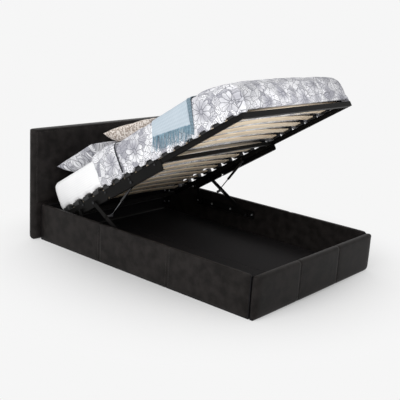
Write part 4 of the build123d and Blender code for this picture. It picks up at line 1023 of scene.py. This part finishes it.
def makeFringe():
    # One tapered strand, copied along both hems, where each copy bends and ends in its own way
    t, f = throw, fringe
    pickOnly(None)
    bpy.ops.mesh.primitive_cone_add(vertices=5, radius1=f["radius"] * f["endShare"], radius2=f["radius"],
                                    depth=f["length"])
    strand = bpy.context.object
    cutAcross(strand, 2, [f["length"] * (i / f["cuts"] - 0.5) for i in range(1, f["cuts"])])
    strand.data.uv_layers[0].name = "cloth"
    copies = []
    count = round((t["end"] - t["start"]) / f["pitch"])
    hemShift = (t["rise"] - t["shoulder"] - t["hem"]) * math.tan(math.radians(t["lean"]))
    for side, i in ((side, i) for side in (-1, 1) for i in range(count)):
        copy = copyOf(strand)
        stretch = random.uniform(*f["stretch"])
        swing = math.tan(math.radians(t["lean"] + random.uniform(-f["swing"], f["swing"])))
        wave = random.uniform(-f["wave"], f["wave"])
        run = t["start"] + hemShift + (i + 0.5) * f["pitch"]
        top = t["hem"] - t["slope"] * (1 - (i + 0.5) / count) + f["hold"]
        out = random.uniform(*f["out"])
        tone = random.random()
        for vertex in copy.data.vertices:
            hang = (f["length"] / 2 - vertex.co.z) * stretch
            share = hang / f["length"]
            bow = abs(math.sin(share * 3 + i)) * f["bow"]
            vertex.co = (side * (t["half"] + out + hemFlare(top - hang) + bow) + vertex.co.x,
                         run + hang * swing + wave * math.sin(share * 6) + vertex.co.y, top - hang)
        for item in copy.data.uv_layers[0].data:
            item.uv = (tone, tone)
        copies.append(copy)
    tassels = joinCopies(strand, copies, "throwFringe", fringeYarn)
    smoothByAngle(tassels, 60)
    setOnPlatform(tassels)
    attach(tassels, "platform")
    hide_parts("throw_fringe")
    return tassels


makeMattress()
makeDuvet()
makeTurnback()
print("mattress and duvet made")
for side, name in ((1, "far"), (-1, "near")):
    makePillow(name + "Pillow", pillow, side * pillow["offset"], duvetCotton, name + "_pillow")
makePillow("boucleCushion", cushion, cushion["offset"], cushionBoucle, "cushion")
makeThrow()
makeShadowStrip()
print("pillows and throw made")


# Floor, backdrop, light and camera

studio = {"paper": "#f6f6f6", "floor": "#e8e8e8", "fill": 0.56, "glowStart": 0.6, "glowFull": 1.8,
          "floorSize": 60, "floorTop": -0.0005}


def seenByCamera(tree):
    # 1 for what the camera sees straight, mirrored or through glass, and 0 for the light that falls on the bed
    path = addNode(tree, "LightPath")
    seen = path.outputs["Is Camera Ray"]
    for kind in ("Is Glossy Ray", "Is Transmission Ray"):
        seen = addNode(tree, "Math", {"operation": "MAXIMUM"}, {0: seen, 1: path.outputs[kind]}).outputs[0]
    return seen


world = bpy.data.worlds.new("paleStudio")
bpy.context.scene.world = world
world.use_nodes = True
tree = world.node_tree
tree.nodes.clear()
dim = addNode(tree, "Background", {"Color": (1, 1, 1, 1), "Strength": studio["fill"]})
paper = addNode(tree, "Background", {"Color": linear(studio["paper"]), "Strength": 1.0})
either = addNode(tree, "MixShader", links={0: seenByCamera(tree), 1: dim.outputs[0], 2: paper.outputs[0]})
addNode(tree, "OutputWorld", links={0: either.outputs[0]})

pickOnly(None)
bpy.ops.mesh.primitive_plane_add(size=studio["floorSize"], location=(0, 0, studio["floorTop"]))
floor = bpy.context.object
floor.name = "studioFloor"
floorMaterial, tree, shader = newMaterial("paleFloor", {"Base Color": linear(studio["floor"]),
                                                        "Roughness": 0.9})
glow = addNode(tree, "Emission", {"Color": linear(studio["paper"]), "Strength": 1.0})
away = addNode(tree, "VectorMath", {"operation": "LENGTH"}, {0: addNode(tree, "TexCoord").outputs["Object"]})
fade = addNode(tree, "MapRange", {"interpolation_type": "SMOOTHSTEP", 1: studio["glowStart"],
                                  2: studio["glowFull"]}, {0: away.outputs["Value"]})
share = addNode(tree, "Math", {"operation": "MULTIPLY"}, {0: seenByCamera(tree), 1: fade.outputs[0]})
blend = addNode(tree, "MixShader", links={0: share.outputs[0], 1: shader.outputs[0], 2: glow.outputs[0]})
tree.links.new(blend.outputs[0], tree.nodes["Material Output"].inputs["Surface"])
floor.data.materials.append(floorMaterial)

lamps = {
    "keyLight": {"kind": "AREA", "place": (-4.8, -0.6, 3.4), "aim": (0, 0, 0.8), "power": 172,
                 "shape": {"size": 3.0}},
    "farLight": {"kind": "AREA", "place": (3.5, 3.0, 4.0), "aim": (0, 0, 0.6), "power": 45,
                 "shape": {"size": 2.5}},
    "slatLight": {"kind": "SPOT", "place": (-0.7, -3.6, 0.12), "aim": (0, -0.3, 1.0), "power": 560,
                  "shape": {"spot_size": math.radians(25), "spot_blend": 0.7, "shadow_soft_size": 0.4}},
}
for name, lamp in lamps.items():
    light = bpy.data.lights.new(name, lamp["kind"])
    light.energy = lamp["power"]
    for key, value in lamp["shape"].items():
        setattr(light, key, value)
    lampObject = bpy.data.objects.new(name, light)
    lampObject.location = lamp["place"]
    beam = Vector(lamp["aim"]) - Vector(lamp["place"])
    lampObject.rotation_euler = beam.to_track_quat("-Z", "Y").to_euler()
    bpy.context.collection.objects.link(lampObject)

view = {"place": (-4.032, -3.364, 1.775), "azimuth": -50.09, "elevation": 14.57, "roll": 3.60,
        "focalPixels": 739.1, "framePixels": 400, "sensorMm": 36}
azimuth, elevation, roll = (math.radians(view[key]) for key in ("azimuth", "elevation", "roll"))
back = Vector((math.sin(azimuth) * math.cos(elevation), -math.cos(azimuth) * math.cos(elevation),
               math.sin(elevation)))
right = Vector((math.cos(azimuth), math.sin(azimuth), 0))
rightTurned = right * math.cos(roll) + back.cross(right) * math.sin(roll)
axes = Matrix((rightTurned, back.cross(rightTurned), back)).transposed().to_4x4()
lens = bpy.data.cameras.new("photoCamera")
lens.sensor_width = view["sensorMm"]
lens.lens = view["focalPixels"] * view["sensorMm"] / view["framePixels"]
camera = bpy.data.objects.new("photoCamera", lens)
camera.matrix_world = Matrix.Translation(view["place"]) @ axes
bpy.context.collection.objects.link(camera)
bpy.context.scene.camera = camera
bpy.context.scene.view_settings.view_transform = "Standard"
print("studio set")
